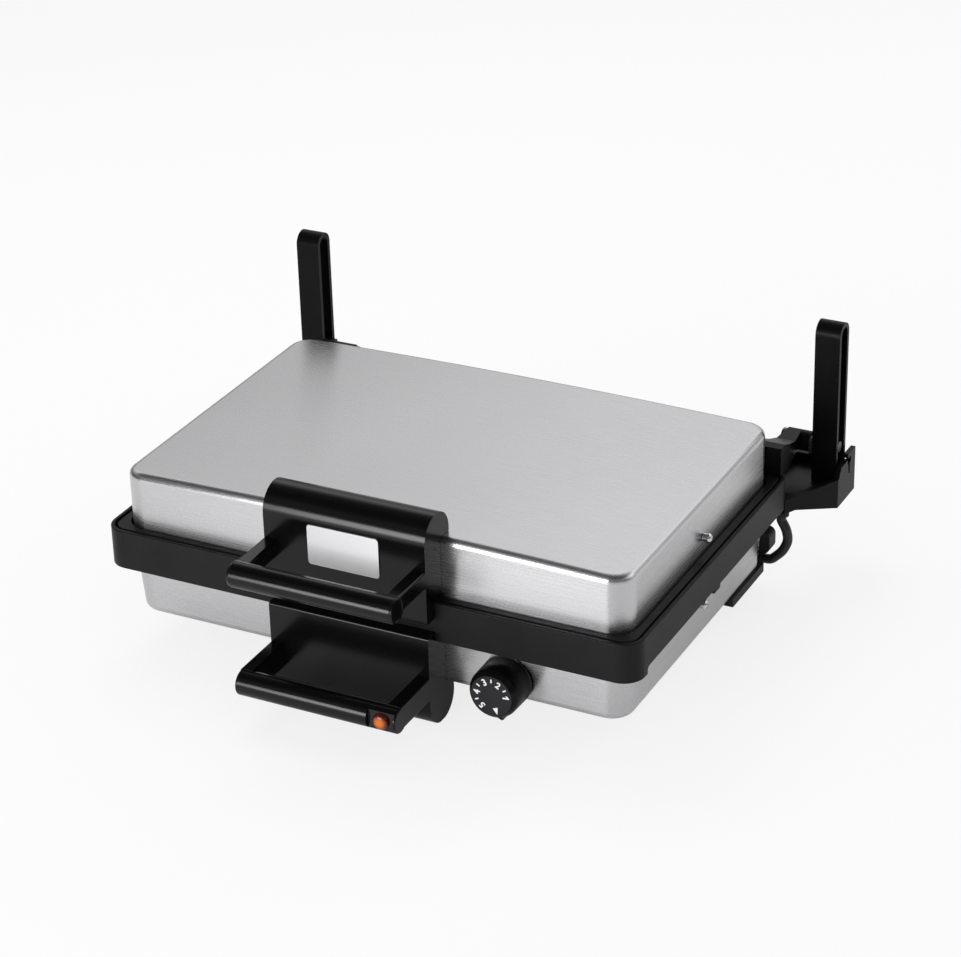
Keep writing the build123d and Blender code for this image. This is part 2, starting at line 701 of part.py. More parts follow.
def knob():
    """The control knob: a hollow barrel with a pointer nib, a hub and a seat for its dial."""
    back = knob_back()
    front = back - KNOB_L
    barrel = rod_y(KNOB_X, front, back, KNOB_Z, KNOB_D)
    front_rim = barrel.edges().filter_by(GeomType.CIRCLE).sort_by(Axis.Y)[0]
    barrel = chamfer([front_rim], KNOB_BEVEL, KNOB_BEVEL_L)
    lean = math.radians(KNOB_NIB_AT)
    nib_r = KNOB_D / 2 + KNOB_NIB - KNOB_NIB_W / math.sqrt(2)
    nib_x = KNOB_X + nib_r * math.cos(lean)
    nib_z = KNOB_Z + nib_r * math.sin(lean)
    nib_l = KNOB_L - 2 * KNOB_BEVEL_L
    nib = Box(KNOB_NIB_W, nib_l, KNOB_NIB_W)
    barrel += Pos(nib_x, back - nib_l / 2, nib_z) * Rot(0, -KNOB_NIB_AT - 45, 0) * nib
    barrel -= rod_y(KNOB_X, front - PAST, front + DIAL_SUNK + DIAL_T, KNOB_Z, KNOB_FACE_D)
    hollow = rod_y(KNOB_X, back - KNOB_HOLLOW, back + PAST, KNOB_Z, KNOB_D - 2 * KNOB_WALL)
    hub = rod_y(KNOB_X, back - KNOB_HOLLOW - PAST, back + 2 * PAST, KNOB_Z, KNOB_HUB_D)
    barrel -= hollow - hub
    return barrel - rod_y(KNOB_X, back - KNOB_BORE, back + PAST, KNOB_Z, SHAFT_D + FIT)


def knob_dial():
    """The numbered disc let into the knob's face."""
    front = knob_back() - KNOB_L + DIAL_SUNK
    return rod_y(KNOB_X, front, front + DIAL_T, KNOB_Z, KNOB_FACE_D - 2 * FIT)


def thermostat_face():
    """The front of the thermostat's body, just clear of the shell's sloping wall."""
    return -body_wall_y(KNOB_Z) + SHELL_T + THERMO_SEAT


def thermostat_shaft():
    """The spindle from the thermostat into the knob, with a flat at its end."""
    end = knob_back() - SHAFT_END
    shaft = rod_y(KNOB_X, end, thermostat_face() + SHAFT_D, KNOB_Z, SHAFT_D)
    low = KNOB_Z + SHAFT_D / 2 - SHAFT_FLAT
    return shaft - block(KNOB_X - SHAFT_D, KNOB_X + SHAFT_D, end - PAST, end + SHAFT_D, low, low + SHAFT_D)


def thermostat():
    """The thermostat's body and its threaded bush through the shell."""
    face = thermostat_face()
    x0 = KNOB_X - THERMO_W / 2
    z0 = KNOB_Z - THERMO_H / 2 + THERMO_UP
    body = block(x0, x0 + THERMO_W, face, face + THERMO_L, z0, z0 + THERMO_H - THERMO_UP)
    body = fillet(body.edges().filter_by(Axis.Y), THERMO_R)
    body += rod_y(KNOB_X, knob_back() + 2 * GAP, face + PAST, KNOB_Z, BUSH_D)
    return body - rod_y(KNOB_X, knob_back() - PAST, face + SHAFT_D + 2 * PAST, KNOB_Z, SHAFT_D + 2 * FIT)


def terminal_block():
    """The terminal block on the base's floor."""
    floor = BASE_FLOOR + SHELL_T
    y = BODY_D / 2 - TERMINAL_INSET
    w = TERMINALS * TERMINAL_PITCH + M4
    body = block(-w / 2, w / 2, y - TERMINAL_L / 2, y + TERMINAL_L / 2, floor + FIT, floor + TERMINAL_H)
    for i in range(TERMINALS):
        x = (i - (TERMINALS - 1) / 2) * TERMINAL_PITCH
        body -= rod_z(x, y, floor + TERMINAL_H / 2, floor + TERMINAL_H + PAST, M5)
    return body


def rear_feet():
    """Two round rubber feet under the rear."""
    out = []
    for x in (-FOOT_X, FOOT_X):
        foot = rod_z(x, FOOT_Y, 0, BASE_FLOOR - FIT, FOOT_D)
        out.append(fillet([foot.edges().filter_by(GeomType.CIRCLE).sort_by(Axis.Z)[0]], EDGE_BEVEL))
    return out


def rear_cover():
    """The black cover on the base's rear wall, with an ear at each end."""
    y0 = BODY_D / 2 - BASE_DRAFT
    y1 = body_wall_y(BASE_FLOOR) + COVER_T
    ear = COVER_W / 2 + COVER_EAR
    body = block(-COVER_W / 2, COVER_W / 2, y0, y1, BASE_FLOOR - COVER_DOWN, BASE_FLOOR + COVER_UP)
    ears = block(-ear, ear, y0, y1, BASE_FLOOR + EAR_LOW, BASE_FLOOR + EAR_LOW + EAR_H)
    ears = fillet(ears.edges().filter_by(Axis.Y), EAR_R)
    body = fillet(body.edges().filter_by(Axis.Y), COVER_R) + ears
    body -= base_pan(GAP, 0)
    body -= rod_y(gland_x(), y0, REAR + WALL_CUT, gland_z(), GLAND_D + 2 * FIT)
    socket = COVER_W / 2 - BUSH_L - 2 * PAST
    return body - rod_x(socket, COVER_W / 2 + PAST, lead_y(), lead_low(), LEAD_D + 2 * GAP)


def gland_x():
    """Where the mains lead comes in."""
    return -COVER_W / 4


def gland_z():
    """Height at which the mains lead comes in."""
    return BASE_FLOOR + GLAND_UP


def runners():
    """Two short runners under the base's rear corners."""
    x1 = BODY_W / 2 - BASE_DRAFT / 2
    y1 = BODY_D / 2 - BASE_DRAFT - RUNNER_R
    run = block(x1 - RUNNER_W, x1, y1 - RUNNER_L, y1, BASE_FLOOR - RUNNER_H, BASE_FLOOR + RUNNER_UP)
    run = fillet(run.edges().filter_by(Axis.Z) + run.edges().filter_by(Axis.X).group_by(Axis.Z)[0], RUNNER_R)
    return pair(run - base_pan(FIT, 0))


def mains_gland():
    """The gland for the mains lead in the rear cover."""
    y1 = body_wall_y(BASE_FLOOR) + COVER_T
    nut_end = y1 + GLAND_NUT_L
    end = nut_end + GLAND_CAP_L
    body = rod_y(gland_x(), y1 - GLAND_IN, y1 + PAST, gland_z(), GLAND_D)
    nut = extrude(RegularPolygon(GLAND_NUT_R, 6), GLAND_NUT_L)
    body += Pos(gland_x(), nut_end, gland_z()) * Rot(90, 0, 0) * nut
    body += rod_y(gland_x(), nut_end - PAST, end, gland_z(), GLAND_D + PAST)
    return body - rod_y(gland_x(), y1 - GLAND_IN - PAST, end + PAST, gland_z(), LEAD_D + 2 * GAP)


def lead_y():
    """Where the link lead leaves the rear cover."""
    return body_wall_y(BASE_FLOOR) + COVER_T - LEAD_D / 2 - PAST / 2


def lead_low():
    """Height at which the link lead leaves the rear cover."""
    return BASE_FLOOR - PAST


def lead_points():
    """The link lead's route, from the rear cover out and up to the right bracket."""
    x = COVER_W / 2
    y = lead_y()
    low = lead_low()
    top = bracket_floor(SIDE) - 4
    return [(x + 6, y, low), (x + 12.5, y, low), (x + 21.5, y, low + 9), (x + 25.3, y, low + 18.5),
            (x + 23.5, y, low + 27), (x + 19.5, y, top - 4), (x + 19.5, y, top)]


def link_lead():
    """The lead that carries current up to the lid."""
    points = lead_points()
    radii = []
    for a, b, c in zip(points, points[1:], points[2:]):
        run_in = Vector(*b) - Vector(*a)
        run_out = Vector(*c) - Vector(*b)
        turn = math.radians(run_in.get_angle(run_out))
        radii.append(0.45 * min(run_in.length, run_out.length) / math.tan(turn / 2))
    path = FilletPolyline(*points, radius=radii)
    tube = sweep(Plane(origin=path @ 0, z_dir=path % 0) * Circle(LEAD_D / 2), path=path)
    ideal = math.pi * (LEAD_D / 2) ** 2 * path.length
    print("lead radii", [round(r, 1) for r in radii], "length", round(path.length, 1))
    print("lead volume over ideal", round(tube.volume / ideal, 4))
    return tube


def lead_bushes():
    """The bush at each end of the link lead."""
    x, y, z = lead_points()[0]
    low = rod_x(COVER_W / 2 + FIT, x - FIT, y, z, LEAD_D + 2 * BUSH_WALL)
    low += rod_x(COVER_W / 2 - BUSH_L, COVER_W / 2 + PAST, y, z, LEAD_D)
    x, y, z = lead_points()[-1]
    floor = bracket_floor(x)
    high = rod_z(x, y, z + FIT, floor - FIT, LEAD_D + 2 * BUSH_WALL)
    high += rod_z(x, y, floor - PAST, floor + BRACKET_WALL, LEAD_D)
    return [low, high]


def bracket_floor(x):
    """Underside of a bracket at a distance from the middle: level at first, then falling outwards."""
    start = SIDE + BRACKET_LEVEL
    level = FRAME_TOP - FRAME_SIDE_H - BRACKET_DROP
    if x <= start:
        return level
    return level + (BRACKET_LOW - level) * (x - start) / (BRACKET_OUT - start)


def bracket():
    """The right hinge bracket: a tray that flares out behind the frame and seats the upright."""
    t = BRACKET_WALL
    wall_start = REAR - 11.5
    x_in = SIDE - BRACKET_INNER
    x_neck = SIDE - BRACKET_NECK
    outline = [(SIDE, wall_start), (BRACKET_OUT, BRACKET_FRONT), (BRACKET_OUT, BRACKET_END),
               (x_neck, BRACKET_END), (x_in, REAR + 12), (x_in, REAR - 5), (SIDE - 12, REAR - 5),
               (SIDE - 12, wall_start)]
    inner = [(SIDE + 0.4, wall_start + 12), (BRACKET_IN, BRACKET_FRONT + 1.5), (BRACKET_IN, BRACKET_END - t),
             (x_neck + t / 2, BRACKET_END - t), (x_in + t, REAR + 12 - t / 4), (x_in + t, REAR + t)]
    level = bracket_floor(SIDE)
    floor_top = level + t
    over = BRACKET_HOOK + PAST
    plan = make_face(Polyline(*outline, close=True))
    body = extrude(Pos(0, 0, BRACKET_LOW) * plan, BRACKET_HOOK - BRACKET_LOW)
    body -= extrude(Pos(0, 0, floor_top) * make_face(Polyline(*inner, close=True)), BRACKET_HOOK)
    rim = floor_top + BRACKET_RIM
    y0 = REAR - 2 * FRAME_R
    x0 = x_in - PAST
    body -= block(x0, BRACKET_IN, BRACKET_FRONT + 8, BRACKET_END + PAST, rim, over)
    body -= block(x0, SIDE - t, y0, BRACKET_END + PAST, rim, over)
    body -= block(x0, BRACKET_OUT + PAST, y0, BRACKET_FRONT + FIT, BRACKET_TOP, over)
    body -= block(x0, BRACKET_IN, y0, BRACKET_END + PAST, BRACKET_TOP, over)
    body -= bracket_under()
    body -= end_wall_cuts()
    skirt = FRAME_TOP - FRAME_SIDE_H - GAP
    body -= prism(FRAME_W + 2 * FIT, FRAME_D + 2 * FIT, FRAME_R + FIT, skirt, FRAME_TOP + PAST)
    x0 = SIDE - FLANGE_IN
    flange_z = FRAME_TOP - FRAME_SIDE_H
    body += block(x0, x0 + FLANGE_W, REAR + FIT, REAR + t, flange_z, flange_z + FLANGE_H)
    body -= rod_y(bracket_screw_x(), REAR - PAST, REAR + 2 * M4, bracket_screw_z(), M4 + 2 * GAP)
    body -= rod_z(UPRIGHT_X + UPRIGHT_W / 2, SLIDER_Y, BRACKET_LOW - PAST, floor_top + PAST, M5 + 2 * GAP)
    x, y, z = lead_points()[-1]
    return body - rod_z(x, y, z, floor_top + PAST, LEAD_D + 2 * FIT)


def bracket_under():
    """What is cut away below the bracket's floor."""
    level = bracket_floor(SIDE)
    x0 = SIDE - FLANGE_IN
    low = BRACKET_LOW - 2 * PAST
    wedge = [(x0, level), (SIDE + BRACKET_LEVEL, level), (BRACKET_OUT, BRACKET_LOW), (BRACKET_OUT, low),
             (x0, low)]
    y0 = REAR - 2 * FRAME_R
    under = make_face(Polyline(*[(x, y0, z) for x, z in wedge], close=True))
    return extrude(under, BRACKET_END + PAST - y0, dir=(0, 1, 0))


def end_wall_cuts():
    """What is cut from the bracket's end wall: its stepped top, the hook and the slit."""
    y_hook = SLIDER_Y + UPRIGHT_D / 4
    shoulder = BRACKET_SHOULDER
    x0 = BRACKET_IN - PAST
    x1 = BRACKET_OUT + PAST
    over = BRACKET_HOOK + PAST
    y0 = BRACKET_FRONT - PAST
    ramp = [(y0, BRACKET_TOP), (BRACKET_FRONT + 1.5, BRACKET_TOP), (BRACKET_FRONT + 6, shoulder),
            (y_hook, shoulder), (y_hook, over), (y0, over)]
    cut = profile_x(ramp, x0, x1)
    slit = [(y_hook - 0.5, shoulder + 1), (y_hook + 3.5, shoulder - 1), (y_hook + 4.0, shoulder - HOOK_SLIT),
            (y_hook + 1.5, shoulder - HOOK_SLIT + 1.5)]
    cut += profile_x(slit, x0, x1)
    return cut + block(x0, x1, y_hook - 1, y_hook + 5.5, shoulder - 3.5, shoulder + 1.2)


def bracket_screws():
    """Screws that hold the brackets to the frame and the uprights to the brackets."""
    x = bracket_screw_x()
    z = bracket_screw_z()
    y = REAR + BRACKET_WALL
    frame_screw = rod_y(x, REAR - M4, y + FIT, z, M4 - FIT) + rod_y(x, y + FIT / 2, y + HEAD_T, z, M4 + M3)
    x = UPRIGHT_X + UPRIGHT_W / 2
    low = upright_seat()
    foot_screw = rod_z(x, SLIDER_Y, low - BRACKET_WALL - PAST, low + 2 * M5, M5 - FIT)
    return pair(frame_screw) + pair(foot_screw)


def upright_seat():
    """Where an upright stands: the top of the bracket's floor."""
    return bracket_floor(SIDE) + BRACKET_WALL


def upright():
    """The right upright: a tall loop whose slot guides the lid's pin."""
    y0 = SLIDER_Y - UPRIGHT_D / 2
    y1 = SLIDER_Y + UPRIGHT_D / 2
    low = upright_seat() + FIT
    body = block(UPRIGHT_X, UPRIGHT_OUT, y0, y1, low, UPRIGHT_TOP - UPRIGHT_D / 2)
    body += rod_x(UPRIGHT_X, UPRIGHT_OUT, SLIDER_Y, UPRIGHT_TOP - UPRIGHT_D / 2, UPRIGHT_D)
    slot_top = UPRIGHT_TOP - UPRIGHT_D / 2
    x0 = UPRIGHT_X - PAST
    x1 = UPRIGHT_OUT + PAST
    body -= block(x0, x1, SLIDER_Y - SLOT_W / 2, SLIDER_Y + SLOT_W / 2, SLOT_LOW, slot_top)
    body -= rod_x(x0, x1, SLIDER_Y, slot_top, SLOT_W)
    return body - rod_z(UPRIGHT_X + UPRIGHT_W / 2, SLIDER_Y, low - PAST, low + 2 * M5 + FIT, M5 + FIT)


def hinge_arm():
    """The right arm, from the lid frame's rear back to the pin."""
    over_frame = FRAME_TOP + ARM_OVER
    foot = RING_TOP + FIT
    y_root = BODY_D / 2 + GAP
    y_ring = REAR - FRAME_WALL - RING_GAP
    side = [(y_root, foot), (y_ring, foot), (y_ring, over_frame), (REAR + M3, over_frame),
            (SLIDER_Y - ARM_DIP, HINGE_Z - KNUCKLE_R + 1), (SLIDER_Y, HINGE_Z - KNUCKLE_R),
            (SLIDER_Y, HINGE_Z + KNUCKLE_R), (SLIDER_Y - ARM_MID, ARM_MID_TOP),
            (y_root + ARM_ROOT_D, ARM_ROOT_TOP), (y_root, ARM_ROOT_TOP)]
    slab = profile_x(side, ARM_ROOT_IN, ARM_ROOT_OUT)
    y_taper = y_root + 3 * ARM_ROOT_D
    plan = [(ARM_ROOT_IN, y_root - PAST), (ARM_ROOT_OUT, y_root - PAST), (ARM_ROOT_OUT, y_taper - ARM_ROOT_D),
            (ARM_IN_X + ARM_W, SLIDER_Y + PAST), (ARM_IN_X, SLIDER_Y + PAST), (ARM_IN_X, y_taper),
            (ARM_ROOT_IN, y_root + ARM_ROOT_D)]
    slab = slab & extrude(Pos(0, 0, foot) * make_face(Polyline(*plan, close=True)), ARM_ROOT_TOP - foot)
    slab -= ring_surround(over_frame) & block(0, SIDE + 3 * M3, 0, REAR + M3, 0, FRAME_TOP + 3 * M3)
    slab += rod_x(ARM_IN_X, ARM_IN_X + ARM_W, SLIDER_Y, HINGE_Z, 2 * KNUCKLE_R)
    slab += rod_x(ARM_IN_X + ARM_W - PAST, UPRIGHT_X - SLIDER_FLANGE - HUB_GAP, SLIDER_Y, HINGE_Z, HUB_D)
    for x in arm_screw_x():
        slab -= rod_z(x, arm_screw_y(), RING_TOP - PAST, RING_TOP + ARM_SCREW_IN + PAST, M3 + FIT)
    return slab - rod_x(ARM_ROOT_IN, UPRIGHT_X, SLIDER_Y, HINGE_Z, PIN_D + 2 * FIT)


def ring_surround(over_frame):
    """The space round the lid frame's ring, up to just above the frame, where no arm may reach."""
    around = prism(FRAME_W + FRAME_R, FRAME_D + FRAME_R, FRAME_R, RING_TOP - WEB_T, over_frame)
    w = 2 * (RING_IN - RUN_GAP)
    d = FRAME_D - 2 * (FRAME_WALL + RING_GAP + RUN_GAP)
    return around - prism(w, d, FRAME_R - WEB_T, RING_TOP - WEB_T - PAST, over_frame + PAST)


def arm_screw_x():
    """Where the two screws of each hinge arm go."""
    first = ARM_ROOT_IN + M4
    return (first, first + ARM_SCREW_PITCH)


def arm_screw_y():
    """How far back the hinge arms' screws stand."""
    return REAR - FRAME_WALL - RING_GAP - ARM_SCREW_BACK


def arm_screws():
    """Screws from under the lid frame up into the hinge arms."""
    out = []
    for x in arm_screw_x():
        shank = rod_z(x, arm_screw_y(), RING_LOW + 2 * GAP, RING_TOP + ARM_SCREW_IN, M3 - FIT)
        head = rod_z(x, arm_screw_y(), RING_LOW + GAP, RING_LOW + HEAD_T - FIT, 2 * M3 - 2 * GAP)
        out += pair(shank + head)
    return out


def hinge_pin():
    """The right pin, with its head inside the arm and its end in the slider."""
    seat = ARM_IN_X - RUN_GAP
    pin = rod_x(seat - PAST, UPRIGHT_OUT - PIN_SHORT, SLIDER_Y, HINGE_Z, PIN_D)
    return pin + rod_x(seat - PIN_HEAD_T, seat, SLIDER_Y, HINGE_Z, PIN_HEAD_D)


def slider():
    """The block that slides in the right upright's slot."""
    x0 = UPRIGHT_X - SLIDER_FLANGE
    half = SLOT_W / 2 - SLIDER_PLAY
    low = HINGE_Z - SLIDER_H / 2
    high = HINGE_Z + SLIDER_H / 2
    body = block(UPRIGHT_X - PAST, UPRIGHT_OUT - SLIDER_SHORT, SLIDER_Y - half, SLIDER_Y + half, low, high)
    body = fillet(body.edges().filter_by(Axis.X), SLIDER_R)
    half = UPRIGHT_D / 2
    flange = block(x0, UPRIGHT_X - RUN_GAP, SLIDER_Y - half, SLIDER_Y + half, low, high)
    body += fillet(flange.edges().filter_by(Axis.X), SLIDER_FLANGE)
    return body - rod_x(x0 - PAST, UPRIGHT_OUT, SLIDER_Y, HINGE_Z, PIN_D + FIT)


def retaining_ring():
    """The ring that keeps the right slider on its pin."""
    x0 = UPRIGHT_OUT - SLIDER_SHORT + FIT
    ring = rod_x(x0, x0 + CLIP_T, SLIDER_Y, HINGE_Z, PIN_D + 2 * CLIP_W)
    return ring - rod_x(x0 - PAST, x0 + CLIP_T + PAST, SLIDER_Y, HINGE_Z, PIN_D + FIT)


def side_screw(z, wall_x, reach):
    """A dome-headed screw through a shell's side wall, standing off on its collar."""
    tip = wall_x + reach
    shank = rod_x(wall_x - SIDE_SCREW_IN, tip, 0, z, M4 - FIT)
    head = Pos(tip, 0, z) * Sphere(SIDE_SCREW_D / 2)
    r = SIDE_SCREW_D
    head = head & block(tip, tip + r, -r, r, z - r, z + r)
    return shank + head + rod_x(wall_x + GAP, tip + FIT, 0, z, SIDE_SCREW_D - PAST)


def base_side_screw():
    """The screw in the middle of the base's drafted right wall."""
    z = base_side_z()
    return side_screw(z, body_wall_x(z) + SHELL_T, BASE_SCREW_OUT)


def fuse(z):
    """The overheat fuse clipped to the upper tray."""
    body = rod_x(-FUSE_L / 2, FUSE_L / 2, FUSE_Y, z + FUSE_D / 2 + GAP, FUSE_D)
    return body + block(-M5, M5, FUSE_Y - FUSE_D, FUSE_Y + FUSE_D, z + FIT, z + FUSE_D / 3)


PARTS = {
    "base_shell": base_shell,
    "base_frame": base_frame,
    "lower_plate": lambda: grill_plate(LOWER_FACE, 1, LEDGE_T),
    "lower_heater": lambda: heater(LOWER_FACE - RIB_H - PLATE_T, HEATER_D),
    "lower_tray": lambda: tray(LEDGE_LOW - FIT, 1),
    "lower_tray_screws": lambda: tray_screws(LEDGE_LOW - FIT, 1),
    "lower_handle_block": lower_handle_block,
    "lower_grip": lower_grip,
    "lower_handle_screws": lambda: handle_screws(lower_screw_z(), -body_wall_y(lower_screw_z()) + SHELL_T),
    "lamp_cover": lamp_cover,
    "lamp_lens": lamp_lens,
    "lamp_holder": lamp_holder,
    "thermostat": thermostat,
    "terminal_block": terminal_block,
    "base_side_screws": lambda: pair(base_side_screw()),
    "rear_feet": rear_feet,
    "rear_cover": rear_cover,
    "runners": runners,
    "mains_gland": mains_gland,
    "link_lead": link_lead,
    "lead_bushes": lead_bushes,
    "bracket_right": bracket,
    "bracket_left": lambda: mirror(bracket(), about=MIRROR),
    "bracket_screws": bracket_screws,
    "upright_right": upright,
    "upright_left": lambda: mirror(upright(), about=MIRROR),
    "knob": knob,
    "knob_dial": knob_dial,
    "thermostat_shaft": thermostat_shaft,
    "hinge_pins": lambda: pair(hinge_pin()),
    "sliders": lambda: pair(slider()),
    "retaining_rings": lambda: pair(retaining_ring()),
    "lid_shell": lid_shell,
    "lid_frame": lid_frame,
    "upper_plate": lambda: grill_plate(UPPER_FACE, -1, WEB_T),
    "upper_heater": lambda: heater(UPPER_FACE + RIB_H + PLATE_T, HEATER_D),
    "upper_tray": lambda: tray(WEB_TOP + FIT, -1),
    "upper_tray_screws": lambda: tray_screws(WEB_TOP + FIT, -1),
    "overheat_fuse": lambda: fuse(WEB_TOP + FIT + TRAY_DEPTH),
    "hinge_arm_right": hinge_arm,
    "hinge_arm_left": lambda: mirror(hinge_arm(), about=MIRROR),
    "arm_screws": arm_screws,
    "upper_handle_block": upper_handle_block,
    "upper_grip": upper_grip,
    "upper_handle_screws": lambda: handle_screws(upper_screw_z(), -BODY_D / 2 + SHELL_T),
    "badge_plate": badge,
    "lid_side_screws": lambda: pair(side_screw(lid_side_z(), BODY_W / 2, LID_SCREW_OUT)),
}

# The origin is on the table, under the middle of the whole part
PLACE = Location((0, -(BRACKET_END + GRIP_Y - GRIP_R) / 2, 0))

for name, make in PARTS.items():
    made = make()
    solids = made if isinstance(made, list) else [made]
    shape = Compound(children=[s.solid() if len(s.solids()) == 1 else s for s in solids])
    export_step(shape.moved(PLACE), f"parts/{name}.step")
print("moved by", round(PLACE.position.Y, 3), "nodes", len(PARTS))
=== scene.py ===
import json
import math

import bmesh
import bpy
from mathutils import Matrix, Vector


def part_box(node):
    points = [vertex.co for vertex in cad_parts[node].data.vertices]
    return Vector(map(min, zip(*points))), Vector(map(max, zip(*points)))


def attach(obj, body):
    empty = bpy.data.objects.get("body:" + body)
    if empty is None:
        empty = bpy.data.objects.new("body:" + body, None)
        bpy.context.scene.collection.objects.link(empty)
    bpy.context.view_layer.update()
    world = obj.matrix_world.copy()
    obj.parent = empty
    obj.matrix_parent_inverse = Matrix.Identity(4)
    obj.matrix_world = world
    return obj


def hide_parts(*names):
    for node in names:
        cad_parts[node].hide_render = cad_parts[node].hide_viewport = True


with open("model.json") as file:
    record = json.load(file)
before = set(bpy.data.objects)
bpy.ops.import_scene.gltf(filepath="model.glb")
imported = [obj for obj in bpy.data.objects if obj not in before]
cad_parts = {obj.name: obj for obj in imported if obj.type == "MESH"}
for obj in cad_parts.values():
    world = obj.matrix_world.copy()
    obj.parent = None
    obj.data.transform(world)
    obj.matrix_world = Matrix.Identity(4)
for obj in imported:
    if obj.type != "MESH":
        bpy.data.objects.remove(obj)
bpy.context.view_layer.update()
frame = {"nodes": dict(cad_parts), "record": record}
nodes = frame["nodes"]
slot_of = {row["node"]: row["material_slot"] for row in frame["record"]["subparts"]}
MM = 0.001
WHITE = (1.0, 1.0, 1.0)


# Shader nodes

def new_material(name):
    """A node material, its tree and its shader."""
    mat = bpy.data.materials.new(name)
    mat.use_nodes = True
    tree = mat.node_tree
    return mat, tree, tree.nodes["Principled BSDF"]


def feed(tree, socket, value):
    """Links an output to a socket, or sets the socket to a fixed value."""
    if isinstance(value, bpy.types.NodeSocket):
        tree.links.new(value, socket)
    else:
        socket.default_value = value


def calculate(tree, operation, a, b=0.0):
    """A value worked out from two others."""
    node = tree.nodes.new("ShaderNodeMath")
    node.operation = operation
    feed(tree, node.inputs[0], a)
    feed(tree, node.inputs[1], b)
    return node.outputs["Value"]


def calculate_vector(tree, operation, a, b=(0.0, 0.0, 0.0)):
    """A vector worked out from two others, or a vector's length."""
    node = tree.nodes.new("ShaderNodeVectorMath")
    node.operation = operation
    feed(tree, node.inputs[0], a)
    feed(tree, node.inputs[1], b)
    return node.outputs["Value" if operation == "LENGTH" else "Vector"]


def place(tree):
    """The point on the object, in metres."""
    return tree.nodes.new("ShaderNodeTexCoord").outputs["Object"]


def noise(tree, density, detail=3.0, rough=0.5):
    """A noise value from 0 to 1. The density is in cells per metre, along each axis or one for all."""
    if not isinstance(density, tuple):
        density = (density, density, density)
    mapping = tree.nodes.new("ShaderNodeMapping")
    mapping.inputs["Scale"].default_value = density
    tree.links.new(place(tree), mapping.inputs["Vector"])
    tex = tree.nodes.new("ShaderNodeTexNoise")
    tex.inputs["Scale"].default_value = 1.0
    tex.inputs["Detail"].default_value = detail
    tex.inputs["Roughness"].default_value = rough
    tree.links.new(mapping.outputs["Vector"], tex.inputs["Vector"])
    return tex.outputs["Fac"]


def spread(tree, value, low, high, start=0.3, end=0.7):
    """A value mapped from the span start..end to low..high. Noise lies mostly in the default span."""
    node = tree.nodes.new("ShaderNodeMapRange")
    node.inputs["From Min"].default_value = start
    node.inputs["From Max"].default_value = end
    node.inputs["To Min"].default_value = low
    node.inputs["To Max"].default_value = high
    tree.links.new(value, node.inputs["Value"])
    return node.outputs["Result"]


def blend(tree, kind, factor, a, b):
    """A mix of two values, vectors or colours. The kind is FLOAT, VECTOR or RGBA."""
    node = tree.nodes.new("ShaderNodeMix")
    node.data_type = kind
    sockets = [s for s in node.inputs if s.enabled]
    feed(tree, sockets[0], factor)
    feed(tree, sockets[1], a)
    feed(tree, sockets[2], b)
    return next(s for s in node.outputs if s.enabled)


def blend_colours(tree, factor, a, b):
    """A mix of two fixed colours."""
    return blend(tree, "RGBA", factor, (*a, 1.0), (*b, 1.0))


def tint(tree, shader, factor, colour, low, high):
    """Gives the shader a colour that wanders between two shares of itself."""
    darker = tuple(c * low for c in colour)
    lighter = tuple(c * high for c in colour)
    wander = spread(tree, factor, 0.0, 1.0)
    tree.links.new(blend_colours(tree, wander, darker, lighter), shader.inputs["Base Color"])


def bump(tree, shader, height, strength, distance):
    """Gives the shader a bump."""
    node = tree.nodes.new("ShaderNodeBump")
    node.inputs["Strength"].default_value = strength
    node.inputs["Distance"].default_value = distance
    tree.links.new(height, node.inputs["Height"])
    tree.links.new(node.outputs["Normal"], shader.inputs["Normal"])


# Materials

BRUSH_LINES = 3600.0
BRUSH_ALONG = 3.0
BRUSH_SPREAD = 0.8
BRUSH_STREAKS = 6.0
SIDE_FROM = 0.6
SIDE_TO = 0.8


def surface_normal(tree):
    """The direction that the surface faces."""
    return tree.nodes.new("ShaderNodeNewGeometry").outputs["Normal"]


def side_mask(tree):
    """1 on faces that look along X, and 0 on the others."""
    split = tree.nodes.new("ShaderNodeSeparateXYZ")
    tree.links.new(surface_normal(tree), split.inputs["Vector"])
    size = calculate(tree, "ABSOLUTE", split.outputs["X"])
    return spread(tree, size, 0.0, 1.0, SIDE_FROM, SIDE_TO)


def across_lines(tree):
    """The direction on the surface that crosses the brushed lines, which is where reflections smear."""
    lines = blend(tree, "VECTOR", side_mask(tree), (1.0, 0.0, 0.0), (0.0, 1.0, 0.0))
    return calculate_vector(tree, "CROSS_PRODUCT", surface_normal(tree), lines)


def brushed_steel(name, colour, rough):
    """Steel with fine lines round the housing and faint broad streaks."""
    mat, tree, shader = new_material(name)
    front_lines = noise(tree, (BRUSH_ALONG, BRUSH_LINES, BRUSH_LINES), detail=2.0)
    side_lines = noise(tree, (BRUSH_LINES, BRUSH_ALONG, BRUSH_LINES), detail=2.0)
    fine = blend(tree, "FLOAT", side_mask(tree), front_lines, side_lines)
    tint(tree, shader, noise(tree, BRUSH_STREAKS, detail=2.0), colour, low=0.97, high=1.02)
    tree.links.new(spread(tree, fine, rough - 0.02, rough + 0.02), shader.inputs["Roughness"])
    shader.inputs["Metallic"].default_value = 1.0
    shader.inputs["Anisotropic"].default_value = BRUSH_SPREAD
    tree.links.new(across_lines(tree), shader.inputs["Tangent"])
    bump(tree, shader, fine, strength=0.012, distance=0.01 * MM)
    return mat


BLACK_PATCHES = 25.0


